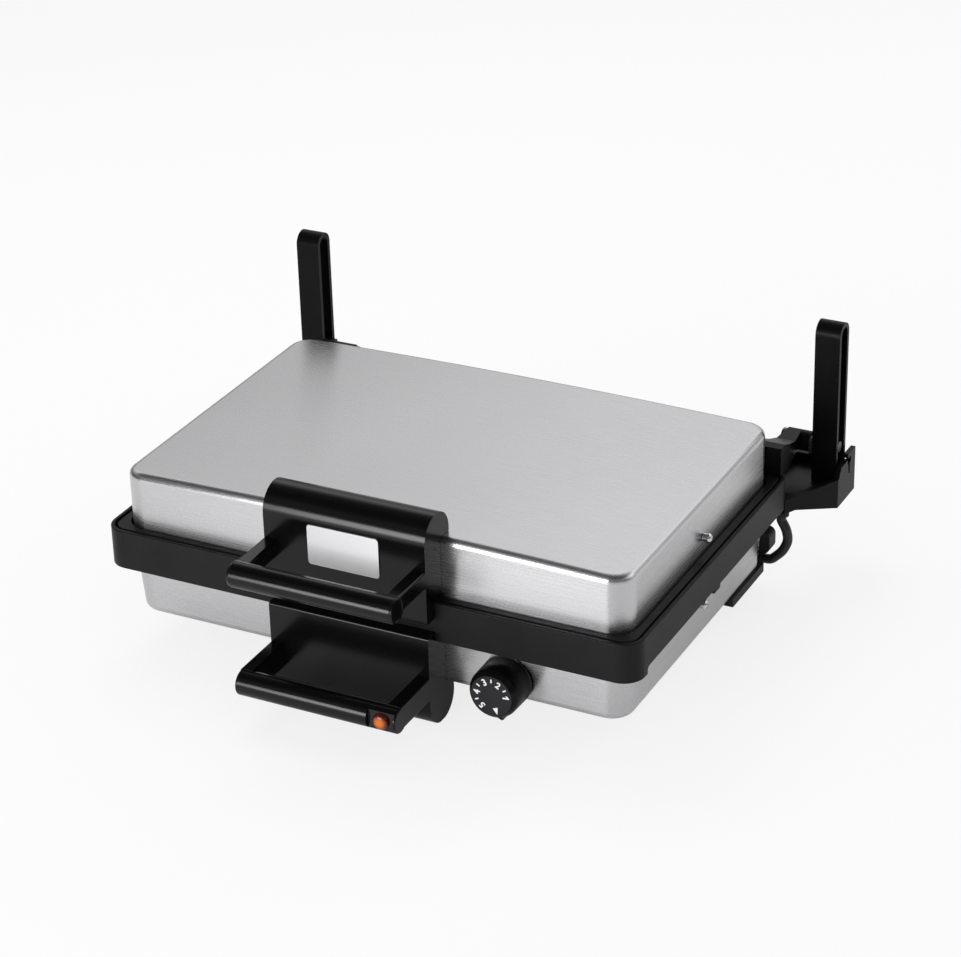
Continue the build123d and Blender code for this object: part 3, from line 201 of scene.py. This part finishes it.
def textured_black(name, colour, rough, grain, depth, specular=0.5):
    """Paint or moulding with a fine leather grain."""
    mat, tree, shader = new_material(name)
    leather = noise(tree, grain, rough=0.55)
    tint(tree, shader, noise(tree, BLACK_PATCHES, detail=2.0), colour, low=0.8, high=1.25)
    tree.links.new(spread(tree, leather, rough - 0.06, rough + 0.08), shader.inputs["Roughness"])
    shader.inputs["Specular IOR Level"].default_value = specular
    bump(tree, shader, leather, strength=0.5, distance=depth)
    return mat


PLASTIC_FLOW = (40.0, 160.0, 160.0)
PLASTIC_DUST = 2600.0


def gloss_black(name, colour, rough, specular):
    """Moulded gloss plastic with a trace of flow and dust in its polish."""
    mat, tree, shader = new_material(name)
    flow = noise(tree, PLASTIC_FLOW, detail=2.0)
    dust = noise(tree, PLASTIC_DUST, detail=1.0)
    tint(tree, shader, flow, colour, low=0.85, high=1.2)
    tree.links.new(spread(tree, dust, rough, rough + 0.05, start=0.35, end=0.75), shader.inputs["Roughness"])
    shader.inputs["Specular IOR Level"].default_value = specular
    bump(tree, shader, flow, strength=0.06, distance=0.2 * MM)
    return mat


METAL_GRAIN = 900.0
METAL_STAINS = 50.0


def plain_metal(name, colour, rough):
    """Bright or dull metal with a fine turned grain."""
    mat, tree, shader = new_material(name)
    grain = noise(tree, METAL_GRAIN, detail=2.0)
    tint(tree, shader, noise(tree, METAL_STAINS), colour, low=0.85, high=1.0)
    tree.links.new(spread(tree, grain, rough - 0.05, rough + 0.1), shader.inputs["Roughness"])
    shader.inputs["Metallic"].default_value = 1.0
    bump(tree, shader, grain, strength=0.1, distance=0.05 * MM)
    return mat


COAT_SPECKLE = 1500.0
COAT_WEAR = 30.0
COAT_DARK = (0.02, 0.02, 0.021)
COAT_WORN = (0.05, 0.048, 0.046)


def coated_plate(name):
    """A cast plate with a dark non-stick coat, a little speckled and worn."""
    mat, tree, shader = new_material(name)
    speckle = noise(tree, COAT_SPECKLE, detail=2.0)
    worn = spread(tree, noise(tree, COAT_WEAR, detail=4.0), 0.0, 1.0)
    tree.links.new(blend_colours(tree, worn, COAT_DARK, COAT_WORN), shader.inputs["Base Color"])
    tree.links.new(spread(tree, speckle, 0.3, 0.48), shader.inputs["Roughness"])
    bump(tree, shader, speckle, strength=0.25, distance=0.08 * MM)
    return mat


# The lens's middle colour is a painted glow, and its rim colour is painted shade.
AMBER_PAINTED_GLOW = (0.72, 0.17, 0.015)
AMBER_PAINTED_RIM_SHADE = (0.06, 0.003, 0.002)
AMBER_SWIRL = 420.0
AMBER_FROM = 0.3
AMBER_TO = 0.85


def amber_lens(name, node):
    """Amber plastic for a round lens along Y, with painted light: a painted glow of orange near its axis, and
    painted shade of dark red round its rim.
    """
    mat, tree, shader = new_material(name)
    low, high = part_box(node)
    radius = (high.z - low.z) / 2
    offset = calculate_vector(tree, "SUBTRACT", place(tree), (low + high) / 2)
    sideways = calculate_vector(tree, "MULTIPLY", offset, (1.0, 0.0, 1.0))
    distance = calculate_vector(tree, "LENGTH", sideways)
    # Painted shade: the colour darkens from the glowing middle out to the rim.
    rim = spread(tree, distance, 0.0, 1.0, AMBER_FROM * radius, AMBER_TO * radius)
    colour = blend_colours(tree, rim, AMBER_PAINTED_GLOW, AMBER_PAINTED_RIM_SHADE)
    swirl = noise(tree, AMBER_SWIRL, detail=2.0)
    tree.links.new(colour, shader.inputs["Base Color"])
    # Painted glow: the lens gives off a faint light in its own colour.
    tree.links.new(colour, shader.inputs["Emission Color"])
    tree.links.new(spread(tree, swirl, 0.04, 0.12), shader.inputs["Roughness"])
    shader.inputs["Emission Strength"].default_value = 0.12
    shader.inputs["Transmission Weight"].default_value = 0.25
    bump(tree, shader, swirl, strength=0.3, distance=0.4 * MM)
    return mat


INK_GRAIN = 3000.0
INK_THIN = (0.72, 0.72, 0.74)
INK_FULL = (0.86, 0.86, 0.88)


def print_white(name):
    """White print, slightly uneven."""
    mat, tree, shader = new_material(name)
    ink = spread(tree, noise(tree, INK_GRAIN, detail=2.0), 0.0, 1.0)
    tree.links.new(blend_colours(tree, ink, INK_THIN, INK_FULL), shader.inputs["Base Color"])
    shader.inputs["Roughness"].default_value = 0.5
    return mat


FINISH = {
    "steel": brushed_steel("brushed_steel", (0.6, 0.593, 0.606), rough=0.27),
    "badge_metal": brushed_steel("badge_metal", (0.62, 0.62, 0.63), rough=0.4),
    "plate_cast": coated_plate("plate_coat"),
    "element": plain_metal("element_tube", (0.33, 0.3, 0.28), rough=0.45),
    "tray_sheet": plain_metal("tray_sheet", (0.72, 0.72, 0.73), rough=0.22),
    "screw_steel": plain_metal("screw_steel", (0.72, 0.72, 0.74), rough=0.16),
    "shaft_steel": plain_metal("shaft_steel", (0.12, 0.12, 0.125), rough=0.3),
    "handle_plastic": gloss_black("handle_plastic", (0.002, 0.002, 0.0023), rough=0.17, specular=0.3),
    "knob_plastic": gloss_black("knob_plastic", (0.003, 0.003, 0.0033), rough=0.24, specular=0.15),
    "lamp_trim": gloss_black("lamp_trim", (0.01, 0.01, 0.011), rough=0.12, specular=0.4),
    "lens_amber": amber_lens("lens_amber", "lamp_lens"),
    "frame_black": textured_black("frame_paint", (0.009, 0.0085, 0.0095),
                                  rough=0.42, grain=900.0, depth=0.22 * MM, specular=0.14),
    "arm_black": textured_black("arm_paint", (0.003, 0.0028, 0.0033),
                                rough=0.36, grain=1500.0, depth=0.06 * MM, specular=0.1),
    "dial_plastic": textured_black("dial_plastic", (0.02, 0.0195, 0.023),
                                   rough=0.5, grain=1600.0, depth=0.03 * MM, specular=0.15),
    "cover_plastic": textured_black("cover_plastic", (0.008, 0.008, 0.0085),
                                    rough=0.45, grain=1100.0, depth=0.1 * MM, specular=0.25),
    "slider_plastic": textured_black("slider_plastic", (0.02, 0.02, 0.02),
                                     rough=0.5, grain=900.0, depth=0.08 * MM, specular=0.35),
    "rubber_black": textured_black("rubber_black", (0.02, 0.02, 0.02),
                                   rough=0.75, grain=1200.0, depth=0.08 * MM, specular=0.3),
    "lead_jacket": textured_black("lead_jacket", (0.015, 0.015, 0.016),
                                  rough=0.35, grain=1500.0, depth=0.05 * MM, specular=0.4),
    "lamp_body": textured_black("lamp_body", (0.6, 0.58, 0.52), rough=0.5, grain=700.0, depth=0.1 * MM),
    "control_body": textured_black("control_body", (0.5, 0.45, 0.36),
                                   rough=0.55, grain=600.0, depth=0.1 * MM),
}
PRINT = print_white("dial_print")
SHARP_EDGE = math.radians(35.0)


def dress(obj, mat):
    """Gives an object one material in every slot."""
    if not obj.data.materials:
        obj.data.materials.append(mat)
    for i in range(len(obj.data.materials)):
        obj.data.materials[i] = mat


def smooth(obj):
    """Smooth shading that keeps the sharp edges."""
    obj.data.shade_smooth()
    obj.data.set_sharp_from_angle(angle=SHARP_EDGE)


for name, obj in nodes.items():
    dress(obj, FINISH[slot_of[name]])
    smooth(obj)


# Meshes made here

def mesh_from(bm, name):
    """A mesh from a bmesh, with its faces outwards."""
    bmesh.ops.recalc_face_normals(bm, faces=bm.faces)
    mesh = bpy.data.meshes.new(name)
    bm.to_mesh(mesh)
    bm.free()
    return mesh


def add_piece(name, bm, mat, body):
    """Makes a piece from a bmesh and lets it ride on a body."""
    obj = bpy.data.objects.new(name, mesh_from(bm, name))
    bpy.context.scene.collection.objects.link(obj)
    dress(obj, mat)
    smooth(obj)
    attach(obj, body)
    return obj


def ring_x(bm, seat, along, radius, segments):
    """A ring of points round an axis along X, at a place along it."""
    ring = []
    for k in range(segments):
        a = 2 * math.pi * k / segments
        ring.append(bm.verts.new(seat + Vector((along, radius * math.cos(a), radius * math.sin(a)))))
    return ring


def skin(bm, rings):
    """Joins each ring of points to the next."""
    for a, b in zip(rings, rings[1:]):
        for k in range(len(a)):
            j = (k + 1) % len(a)
            bm.faces.new((a[k], b[k], b[j], a[j]))


# Knob: a fluted barrel with a pointer nib

KNOB_FLUTES = 60
KNOB_FLUTE_DEPTH = 0.35 * MM
FLUTE_POINTS = 6
KNOB_SEGMENTS = KNOB_FLUTES * FLUTE_POINTS
NIB_ANGLE = math.radians(-72.0)
NIB_RISE = 2.2 * MM
NIB_HALF = math.radians(7.0)
HUB_BORE_R = 6.2 * MM
HUB_R = 7.5 * MM
HUB_BORE_DEPTH = 10 * MM
SKIRT_DEPTH = 9 * MM
SKIRT_WALL = 3 * MM
DIAL_GAP = 0.05 * MM
DIAL_HOLE_R = 3.2 * MM

# The barrel in mm: how far forward of its back, how far in from its radius, and its share of flute and of nib
BARREL = ((0.0, 0.9, 0, 0), (0.3, 0.3, 0, 0.3), (0.9, 0.0, 0, 0.6), (2.2, 0.0, 0, 1),
          (2.8, 0.0, 1, 1), (9.0, 0.1, 1, 1), (11.0, 0.15, 0, 1))
# The shoulder in mm: how far behind the face, how far in from the barrel's radius, and its share of nib
SHOULDER = ((5.0, 0.35, 1), (3.4, 0.7, 1), (2.2, 1.3, 0.8), (1.0, 2.3, 0.3))
# The lip round the dial in mm: how far behind the face, and how far out from the dial's edge
LIP = ((0.25, 0.55), (0.0, 0.25), (0.12, 0.0))


def knob_radius(base, angle, flute, nib):
    """The barrel's radius at an angle, with its flutes and its nib."""
    r = base - flute * KNOB_FLUTE_DEPTH * (0.5 - 0.5 * math.cos(KNOB_FLUTES * angle))
    off = abs((angle - NIB_ANGLE + math.pi) % (2 * math.pi) - math.pi)
    if off < NIB_HALF:
        r = max(r, base + nib * NIB_RISE * (1 - off / NIB_HALF))
    return r


def knob_profile():
    """The knob's outline from its bore to its dial: place along Y, radius, and shares of flute and nib."""
    low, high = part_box("knob")
    dial_low, dial_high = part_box("knob_dial")
    front = low.y
    back = high.y
    r_out = (high.x - low.x) / 2
    r_face = (dial_high.x - dial_low.x) / 2 + DIAL_GAP
    floor = dial_high.y + DIAL_GAP
    inside = ((HUB_BORE_DEPTH, HUB_BORE_R), (0.0, HUB_BORE_R), (0.0, HUB_R), (SKIRT_DEPTH, HUB_R),
              (SKIRT_DEPTH, r_out - SKIRT_WALL), (0.0, r_out - SKIRT_WALL))
    profile = [(back - ahead, radius, 0, 0) for ahead, radius in inside]
    profile += [(back - ahead * MM, r_out - inset * MM, flute, nib) for ahead, inset, flute, nib in BARREL]
    profile += [(front + behind * MM, r_out - inset * MM, 0, nib) for behind, inset, nib in SHOULDER]
    profile += [(front + behind * MM, r_face + out * MM, 0, 0) for behind, out in LIP]
    profile += [(floor, r_face, 0, 0), (floor, DIAL_HOLE_R, 0, 0)]
    return profile


def dial_face():
    """The middle of the dial's face."""
    low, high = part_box("knob_dial")
    face = (low + high) / 2
    face.y = low.y
    return face


def build_knob():
    """Replaces the knob with a fluted one."""
    face = dial_face()
    bm = bmesh.new()
    rings = []
    for y, radius, flute, nib in knob_profile():
        ring = []
        for i in range(KNOB_SEGMENTS):
            angle = 2 * math.pi * i / KNOB_SEGMENTS
            r = knob_radius(radius, angle, flute, nib)
            ring.append(bm.verts.new((face.x + r * math.cos(angle), y, face.z + r * math.sin(angle))))
        rings.append(ring)
    skin(bm, rings)
    bm.faces.new(rings[0])
    bm.faces.new(rings[-1])
    piece = add_piece("knob_body", bm, FINISH["knob_plastic"], "knob")
    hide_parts("knob")


# Dial print: numbers, ticks and the pointer's triangle

NUMBERS = 5
FIRST_NUMBER = math.radians(5.0)
NUMBER_STEP = math.radians(56.25)
NUMBER_R = 10.6 * MM
NUMBER_H = 4.6 * MM
NUMBER_BOLD = 0.16 * MM
LETTER_SHARE = 0.7  # a numeral's height as a share of the type size
LETTER_STEPS = 8
ONE_STEM = 0.55 * MM
ONE_FLAG = 1.15 * MM
ONE_FLAG_FOOT = 2.2 * ONE_FLAG
ONE_FLAG_ROOT = 1.3 * ONE_FLAG
ONE_TIP = 0.2 * MM
TICK_R = 11.4 * MM
TICK_L = 2.6 * MM
TICK_W = 0.95 * MM
POINTER_R = NUMBER_R + 0.4 * MM
POINTER_HALF = 1.9 * MM
POINTER_BASE = 2.4 * MM
POINTER_TIP = 2.6 * MM
PRINT_T = 0.06 * MM


def onto_dial(angle, radius):
    """The matrix that lays a flat drawing on the dial at an angle, with its top outwards."""
    face = dial_face()
    spot = Vector((face.x + radius * math.cos(angle), face.y, face.z + radius * math.sin(angle)))
    upright = Matrix.Rotation(math.pi / 2, 4, "X")
    return Matrix.Translation(spot) @ upright @ Matrix.Rotation(angle - math.pi / 2, 4, "Z")


def flat_shape(bm, outline, matrix):
    """Adds a thin raised shape from an outline."""
    rows = []
    for rise in (-PRINT_T, PRINT_T):
        rows.append([bm.verts.new(matrix @ Vector((x, y, rise))) for x, y in outline])
    bm.faces.new(rows[0][::-1])
    bm.faces.new(rows[1])
    for i in range(len(outline)):
        j = (i + 1) % len(outline)
        bm.faces.new((rows[0][i], rows[0][j], rows[1][j], rows[1][i]))


def one_outline():
    """The numeral 1: a stem with a slanted flag."""
    half = NUMBER_H / 2
    edge = -ONE_FLAG - ONE_STEM
    return [(-ONE_STEM, -half), (ONE_STEM, -half), (ONE_STEM, half), (-ONE_TIP, half),
            (edge, half - ONE_FLAG), (edge, half - ONE_FLAG_FOOT), (-ONE_STEM, half - ONE_FLAG_ROOT)]


def number_mesh(text):
    """One numeral as a mesh, centred on the origin."""
    curve = bpy.data.curves.new("numeral", "FONT")
    curve.body = text
    curve.size = NUMBER_H / LETTER_SHARE
    curve.extrude = PRINT_T
    curve.offset = NUMBER_BOLD
    curve.resolution_u = LETTER_STEPS
    obj = bpy.data.objects.new("numeral", curve)
    bpy.context.scene.collection.objects.link(obj)
    bpy.context.view_layer.update()
    mesh = bpy.data.meshes.new_from_object(obj)
    bpy.data.objects.remove(obj)
    xs = [v.co.x for v in mesh.vertices]
    ys = [v.co.y for v in mesh.vertices]
    centre = Vector(((min(xs) + max(xs)) / 2, (min(ys) + max(ys)) / 2, 0.0))
    mesh.transform(Matrix.Translation(-centre))
    return mesh


def build_dial_print():
    """Prints the numbers 1 to 5 on the dial, with a tick between each two and a pointer."""
    bm = bmesh.new()
    half = TICK_W / 2
    tick = [(-half, -TICK_L / 2), (half, -TICK_L / 2), (half, TICK_L / 2), (-half, TICK_L / 2)]
    pointer = [(-POINTER_HALF, -POINTER_BASE), (POINTER_HALF, -POINTER_BASE), (0.0, POINTER_TIP)]
    for k in range(NUMBERS):
        angle = FIRST_NUMBER + k * NUMBER_STEP
        if k == 0:
            flat_shape(bm, one_outline(), onto_dial(angle, NUMBER_R))
        else:
            mesh = number_mesh(str(k + 1))
            mesh.transform(onto_dial(angle, NUMBER_R))
            bm.from_mesh(mesh)
        if k < NUMBERS - 1:
            flat_shape(bm, tick, onto_dial(angle + NUMBER_STEP / 2, TICK_R))
    flat_shape(bm, pointer, onto_dial(NIB_ANGLE, POINTER_R))
    add_piece("dial_print", bm, PRINT, "knob")


# Upper grip's ends: a shallow cap with a raised rim on each end of the bar

GRIP_R = 9.0 * MM
CAP_R = GRIP_R - 0.5 * MM
CAP_RISE = 0.9 * MM
CAP_SUNK = 1.0 * MM
CAP_SEGMENTS = 96

# The cap past the bar's end: its share of the rise, and how far in from its radius in mm
CAP_OUTLINE = ((0.55, 0.0), (0.9, 0.2), (1.0, 0.5), (1.0, 1.3), (0.5, 1.6), (0.45, 4.25))


def end_cap(bm, seat, outwards):
    """One cap on the bar's end at seat. outwards is 1 on the right end and -1 on the left."""
    profile = [(-CAP_SUNK, CAP_R)]
    profile += [(share * CAP_RISE, CAP_R - inset * MM) for share, inset in CAP_OUTLINE]
    rings = [ring_x(bm, seat, outwards * rise, radius, CAP_SEGMENTS) for rise, radius in profile]
    skin(bm, rings)
    bm.faces.new(rings[0])
    bm.faces.new(rings[-1])


def build_end_caps():
    """Puts a cap on each end of the upper bar."""
    low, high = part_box("upper_grip")
    y = low.y + GRIP_R
    z = low.z + GRIP_R
    bm = bmesh.new()
    end_cap(bm, Vector((high.x, y, z)), 1)
    end_cap(bm, Vector((low.x, y, z)), -1)
    add_piece("upper_grip_caps", bm, FINISH["handle_plastic"], "lid")


# Screws on the sides: a domed head with a cross recess, and a collar that reaches into the wall

HEAD_R = 3.5 * MM
HEAD_RISE = 2.2 * MM
HEAD_SPHERE = (HEAD_R ** 2 + HEAD_RISE ** 2) / (2 * HEAD_RISE)
RIM_T = 0.5 * MM
CROSS_R = 2.0 * MM
CROSS_HALF = 0.42 * MM
CROSS_DEPTH = 0.9 * MM
CROSS_LOSS = 0.5  # the share of its depth that the cross has lost at its tips
COLLAR_R = 2.9 * MM
COLLAR_L = 4.4 * MM
COLLAR_STEP = 0.1 * MM
HEAD_RINGS = 26
HEAD_SEGMENTS = 72
LID_SCREW_TURN = 0.4
BASE_SCREW_TURN = 0.9


def head_height(y, z):
    """Height of the dome over its rim, less the recess."""
    r = math.hypot(y, z)
    h = math.sqrt(max(HEAD_SPHERE ** 2 - r ** 2, 0.0)) - (HEAD_SPHERE - HEAD_RISE)
    if r < CROSS_R and min(abs(y), abs(z)) < CROSS_HALF:
        h -= CROSS_DEPTH * (1 - CROSS_LOSS * r / CROSS_R)
    return h


def screw_head(bm, seat, outwards, turn):
    """One head on the wall at seat. outwards is 1 on the right side and -1 on the left."""
    rings = []
    top = bm.verts.new(seat + Vector((outwards * head_height(0.0, 0.0), 0.0, 0.0)))
    for i in range(1, HEAD_RINGS + 1):
        r = HEAD_R * i / HEAD_RINGS
        ring = []
        for k in range(HEAD_SEGMENTS):
            a = 2 * math.pi * k / HEAD_SEGMENTS
            h = head_height(r * math.cos(a + turn), r * math.sin(a + turn))
            ring.append(bm.verts.new(seat + Vector((outwards * h, r * math.cos(a), r * math.sin(a)))))
        rings.append(ring)
    for radius, depth in ((HEAD_R, RIM_T), (COLLAR_R, RIM_T + COLLAR_STEP), (COLLAR_R, COLLAR_L)):
        rings.append(ring_x(bm, seat, -outwards * depth, radius, HEAD_SEGMENTS))
    skin(bm, rings)
    for k in range(HEAD_SEGMENTS):
        bm.faces.new((top, rings[0][k], rings[0][(k + 1) % HEAD_SEGMENTS]))
    bm.faces.new(rings[-1])


def build_side_screws(node, body, turn):
    """Replaces a pair of side screws with modelled heads."""
    low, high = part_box(node)
    middle = (low + high) / 2
    bm = bmesh.new()
    for outwards, x in ((1, high.x), (-1, low.x)):
        screw_head(bm, Vector((x - outwards * HEAD_RISE, middle.y, middle.z)), outwards, turn)
    piece = add_piece(node + "_heads", bm, FINISH["screw_steel"], body)
    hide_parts(node)


build_knob()
build_dial_print()
build_end_caps()
build_side_screws("lid_side_screws", "lid", LID_SCREW_TURN)
build_side_screws("base_side_screws", "base", BASE_SCREW_TURN)


# Camera

CAMERA_AT = (0.8470, -1.5880, 1.0259)
CAMERA_AZIMUTH = math.radians(27.47)
CAMERA_ELEVATION = math.radians(27.08)
CAMERA_ROLL = math.radians(-1.62)
CAMERA_REACH = 50.0
IMAGE_WIDTH = 961
FOCAL_PIXELS = 2915.6
SENSOR_WIDTH = 36.0


def add_camera():
    """The camera at the photograph's place and angle."""
    data = bpy.data.cameras.new("camera")
    data.sensor_fit = "HORIZONTAL"
    data.sensor_width = SENSOR_WIDTH
    data.lens = FOCAL_PIXELS / IMAGE_WIDTH * SENSOR_WIDTH
    data.clip_end = CAMERA_REACH
    east = math.sin(CAMERA_AZIMUTH)
    north = math.cos(CAMERA_AZIMUTH)
    flat = math.cos(CAMERA_ELEVATION)
    ahead = Vector((-east * flat, north * flat, -math.sin(CAMERA_ELEVATION)))
    level = Vector((north, east, 0.0))
    right = level * math.cos(CAMERA_ROLL) + level.cross(ahead) * math.sin(CAMERA_ROLL)
    turn = Matrix((right, right.cross(ahead), -ahead)).transposed().to_4x4()
    obj = bpy.data.objects.new("camera", data)
    bpy.context.scene.collection.objects.link(obj)
    obj.matrix_world = Matrix.Translation(CAMERA_AT) @ turn
    bpy.context.scene.camera = obj


# Floor: white to the camera, dimmer in reflections, with a soft shadow

FLOOR_HALF = 8.0
FLOOR_CELLS = 4
FLOOR_TONES = 3.0
FLOOR_DARK = (0.93, 0.93, 0.93)
FLOOR_PALE = (0.95, 0.95, 0.95)
FLOOR_WHITE = 0.8
FLOOR_GLOSS = 0.08


def studio_floor(name):
    """Matt white that glows for camera rays, and a little for reflections."""
    mat, tree, shader = new_material(name)
    tone = noise(tree, FLOOR_TONES, detail=2.0)
    tree.links.new(blend_colours(tree, tone, FLOOR_DARK, FLOOR_PALE), shader.inputs["Base Color"])
    shader.inputs["Roughness"].default_value = 0.9
    shader.inputs["Specular IOR Level"].default_value = 0.0
    rays = tree.nodes.new("ShaderNodeLightPath")
    seen = calculate(tree, "MULTIPLY", rays.outputs["Is Camera Ray"], FLOOR_WHITE)
    mirrored = calculate(tree, "MULTIPLY", rays.outputs["Is Glossy Ray"], FLOOR_GLOSS)
    glow = tree.nodes.new("ShaderNodeEmission")
    mix = tree.nodes.new("ShaderNodeMixShader")
    tree.links.new(calculate(tree, "MAXIMUM", seen, mirrored), mix.inputs["Fac"])
    tree.links.new(shader.outputs["BSDF"], mix.inputs[1])
    tree.links.new(glow.outputs["Emission"], mix.inputs[2])
    tree.links.new(mix.outputs["Shader"], tree.nodes["Material Output"].inputs["Surface"])
    return mat


def add_floor():
    """The floor that the object stands on."""
    bm = bmesh.new()
    bmesh.ops.create_grid(bm, x_segments=FLOOR_CELLS, y_segments=FLOOR_CELLS, size=FLOOR_HALF)
    obj = bpy.data.objects.new("floor", mesh_from(bm, "floor"))
    bpy.context.scene.collection.objects.link(obj)
    dress(obj, studio_floor("studio_floor"))


# World: white to the camera, even soft light, and a studio's walls and roof in reflections.
# Each span is of the reflected ray's direction along an axis.

WORLD_LIGHT = 0.6
WALL_LOW = 0.5
WALL_HIGH = 1.7
WALL_SPAN = (0.3, 0.56)
ROOF_DIM = 0.12
ROOF_SPAN = (0.6, 0.8)
FRONT_DIM = 0.2
FRONT_SPAN = (-0.1, 0.5)
LEFT_DIM = 0.7
LEFT_SPAN = (-0.55, -0.3)


def studio_shade(tree):
    """The brightness of the studio in a reflected ray's direction."""
    coords = tree.nodes.new("ShaderNodeTexCoord")
    split = tree.nodes.new("ShaderNodeSeparateXYZ")
    tree.links.new(coords.outputs["Generated"], split.inputs["Vector"])
    wall = spread(tree, split.outputs["Z"], WALL_LOW, WALL_HIGH, *WALL_SPAN)
    roof = spread(tree, split.outputs["Z"], 1.0, ROOF_DIM, *ROOF_SPAN)
    front = spread(tree, split.outputs["Y"], FRONT_DIM, 1.0, *FRONT_SPAN)
    left = spread(tree, split.outputs["X"], LEFT_DIM, 1.0, *LEFT_SPAN)
    shade = calculate(tree, "MULTIPLY", wall, roof)
    shade = calculate(tree, "MULTIPLY", shade, front)
    return calculate(tree, "MULTIPLY", shade, left)


def background(tree, strength):
    """A white background of a strength."""
    node = tree.nodes.new("ShaderNodeBackground")
    node.inputs["Color"].default_value = (*WHITE, 1.0)
    feed(tree, node.inputs["Strength"], strength)
    return node.outputs["Background"]


def add_world():
    """The studio round the object."""
    world = bpy.data.worlds.new("studio")
    bpy.context.scene.world = world
    world.use_nodes = True
    tree = world.node_tree
    rays = tree.nodes.new("ShaderNodeLightPath")
    last = background(tree, WORLD_LIGHT)
    strengths = {"Is Glossy Ray": studio_shade(tree), "Is Transmission Ray": 1.0, "Is Camera Ray": 1.0}
    for kind, strength in strengths.items():
        mix = tree.nodes.new("ShaderNodeMixShader")
        tree.links.new(rays.outputs[kind], mix.inputs["Fac"])
        tree.links.new(last, mix.inputs[1])
        tree.links.new(background(tree, strength), mix.inputs[2])
        last = mix.outputs["Shader"]
    tree.links.new(last, tree.nodes["World Output"].inputs["Surface"])


# Lamps: a low wide box in front for the streaks on the handles, and two that only light

def add_area(name, spot, target, size, power, in_gloss):
    """A rectangular lamp that looks at a point and shows in reflections where in_gloss is true."""
    data = bpy.data.lights.new(name, "AREA")
    data.shape = "RECTANGLE"
    data.size, data.size_y = size
    data.energy = power
    data.color = WHITE
    obj = bpy.data.objects.new(name, data)
    bpy.context.scene.collection.objects.link(obj)
    obj.location = spot
    obj.rotation_euler = (Vector(target) - Vector(spot)).to_track_quat("-Z", "Y").to_euler()
    obj.visible_camera = False
    obj.visible_glossy = in_gloss


add_camera()
add_floor()
add_world()
add_area("front_box", spot=(-0.37, -1.6, 0.29), target=(0.0, -0.1, 0.08),
         size=(0.85, 0.52), power=15.0, in_gloss=True)
add_area("top_box", spot=(-0.6, 0.45, 1.35), target=(0.0, 0.0, 0.1),
         size=(1.0, 0.5), power=6.0, in_gloss=False)
add_area("right_box", spot=(0.95, 1.5, 0.8), target=(0.1, 0.0, 0.05),
         size=(0.5, 0.4), power=4.0, in_gloss=False)
bpy.context.scene.view_settings.view_transform = "Standard"
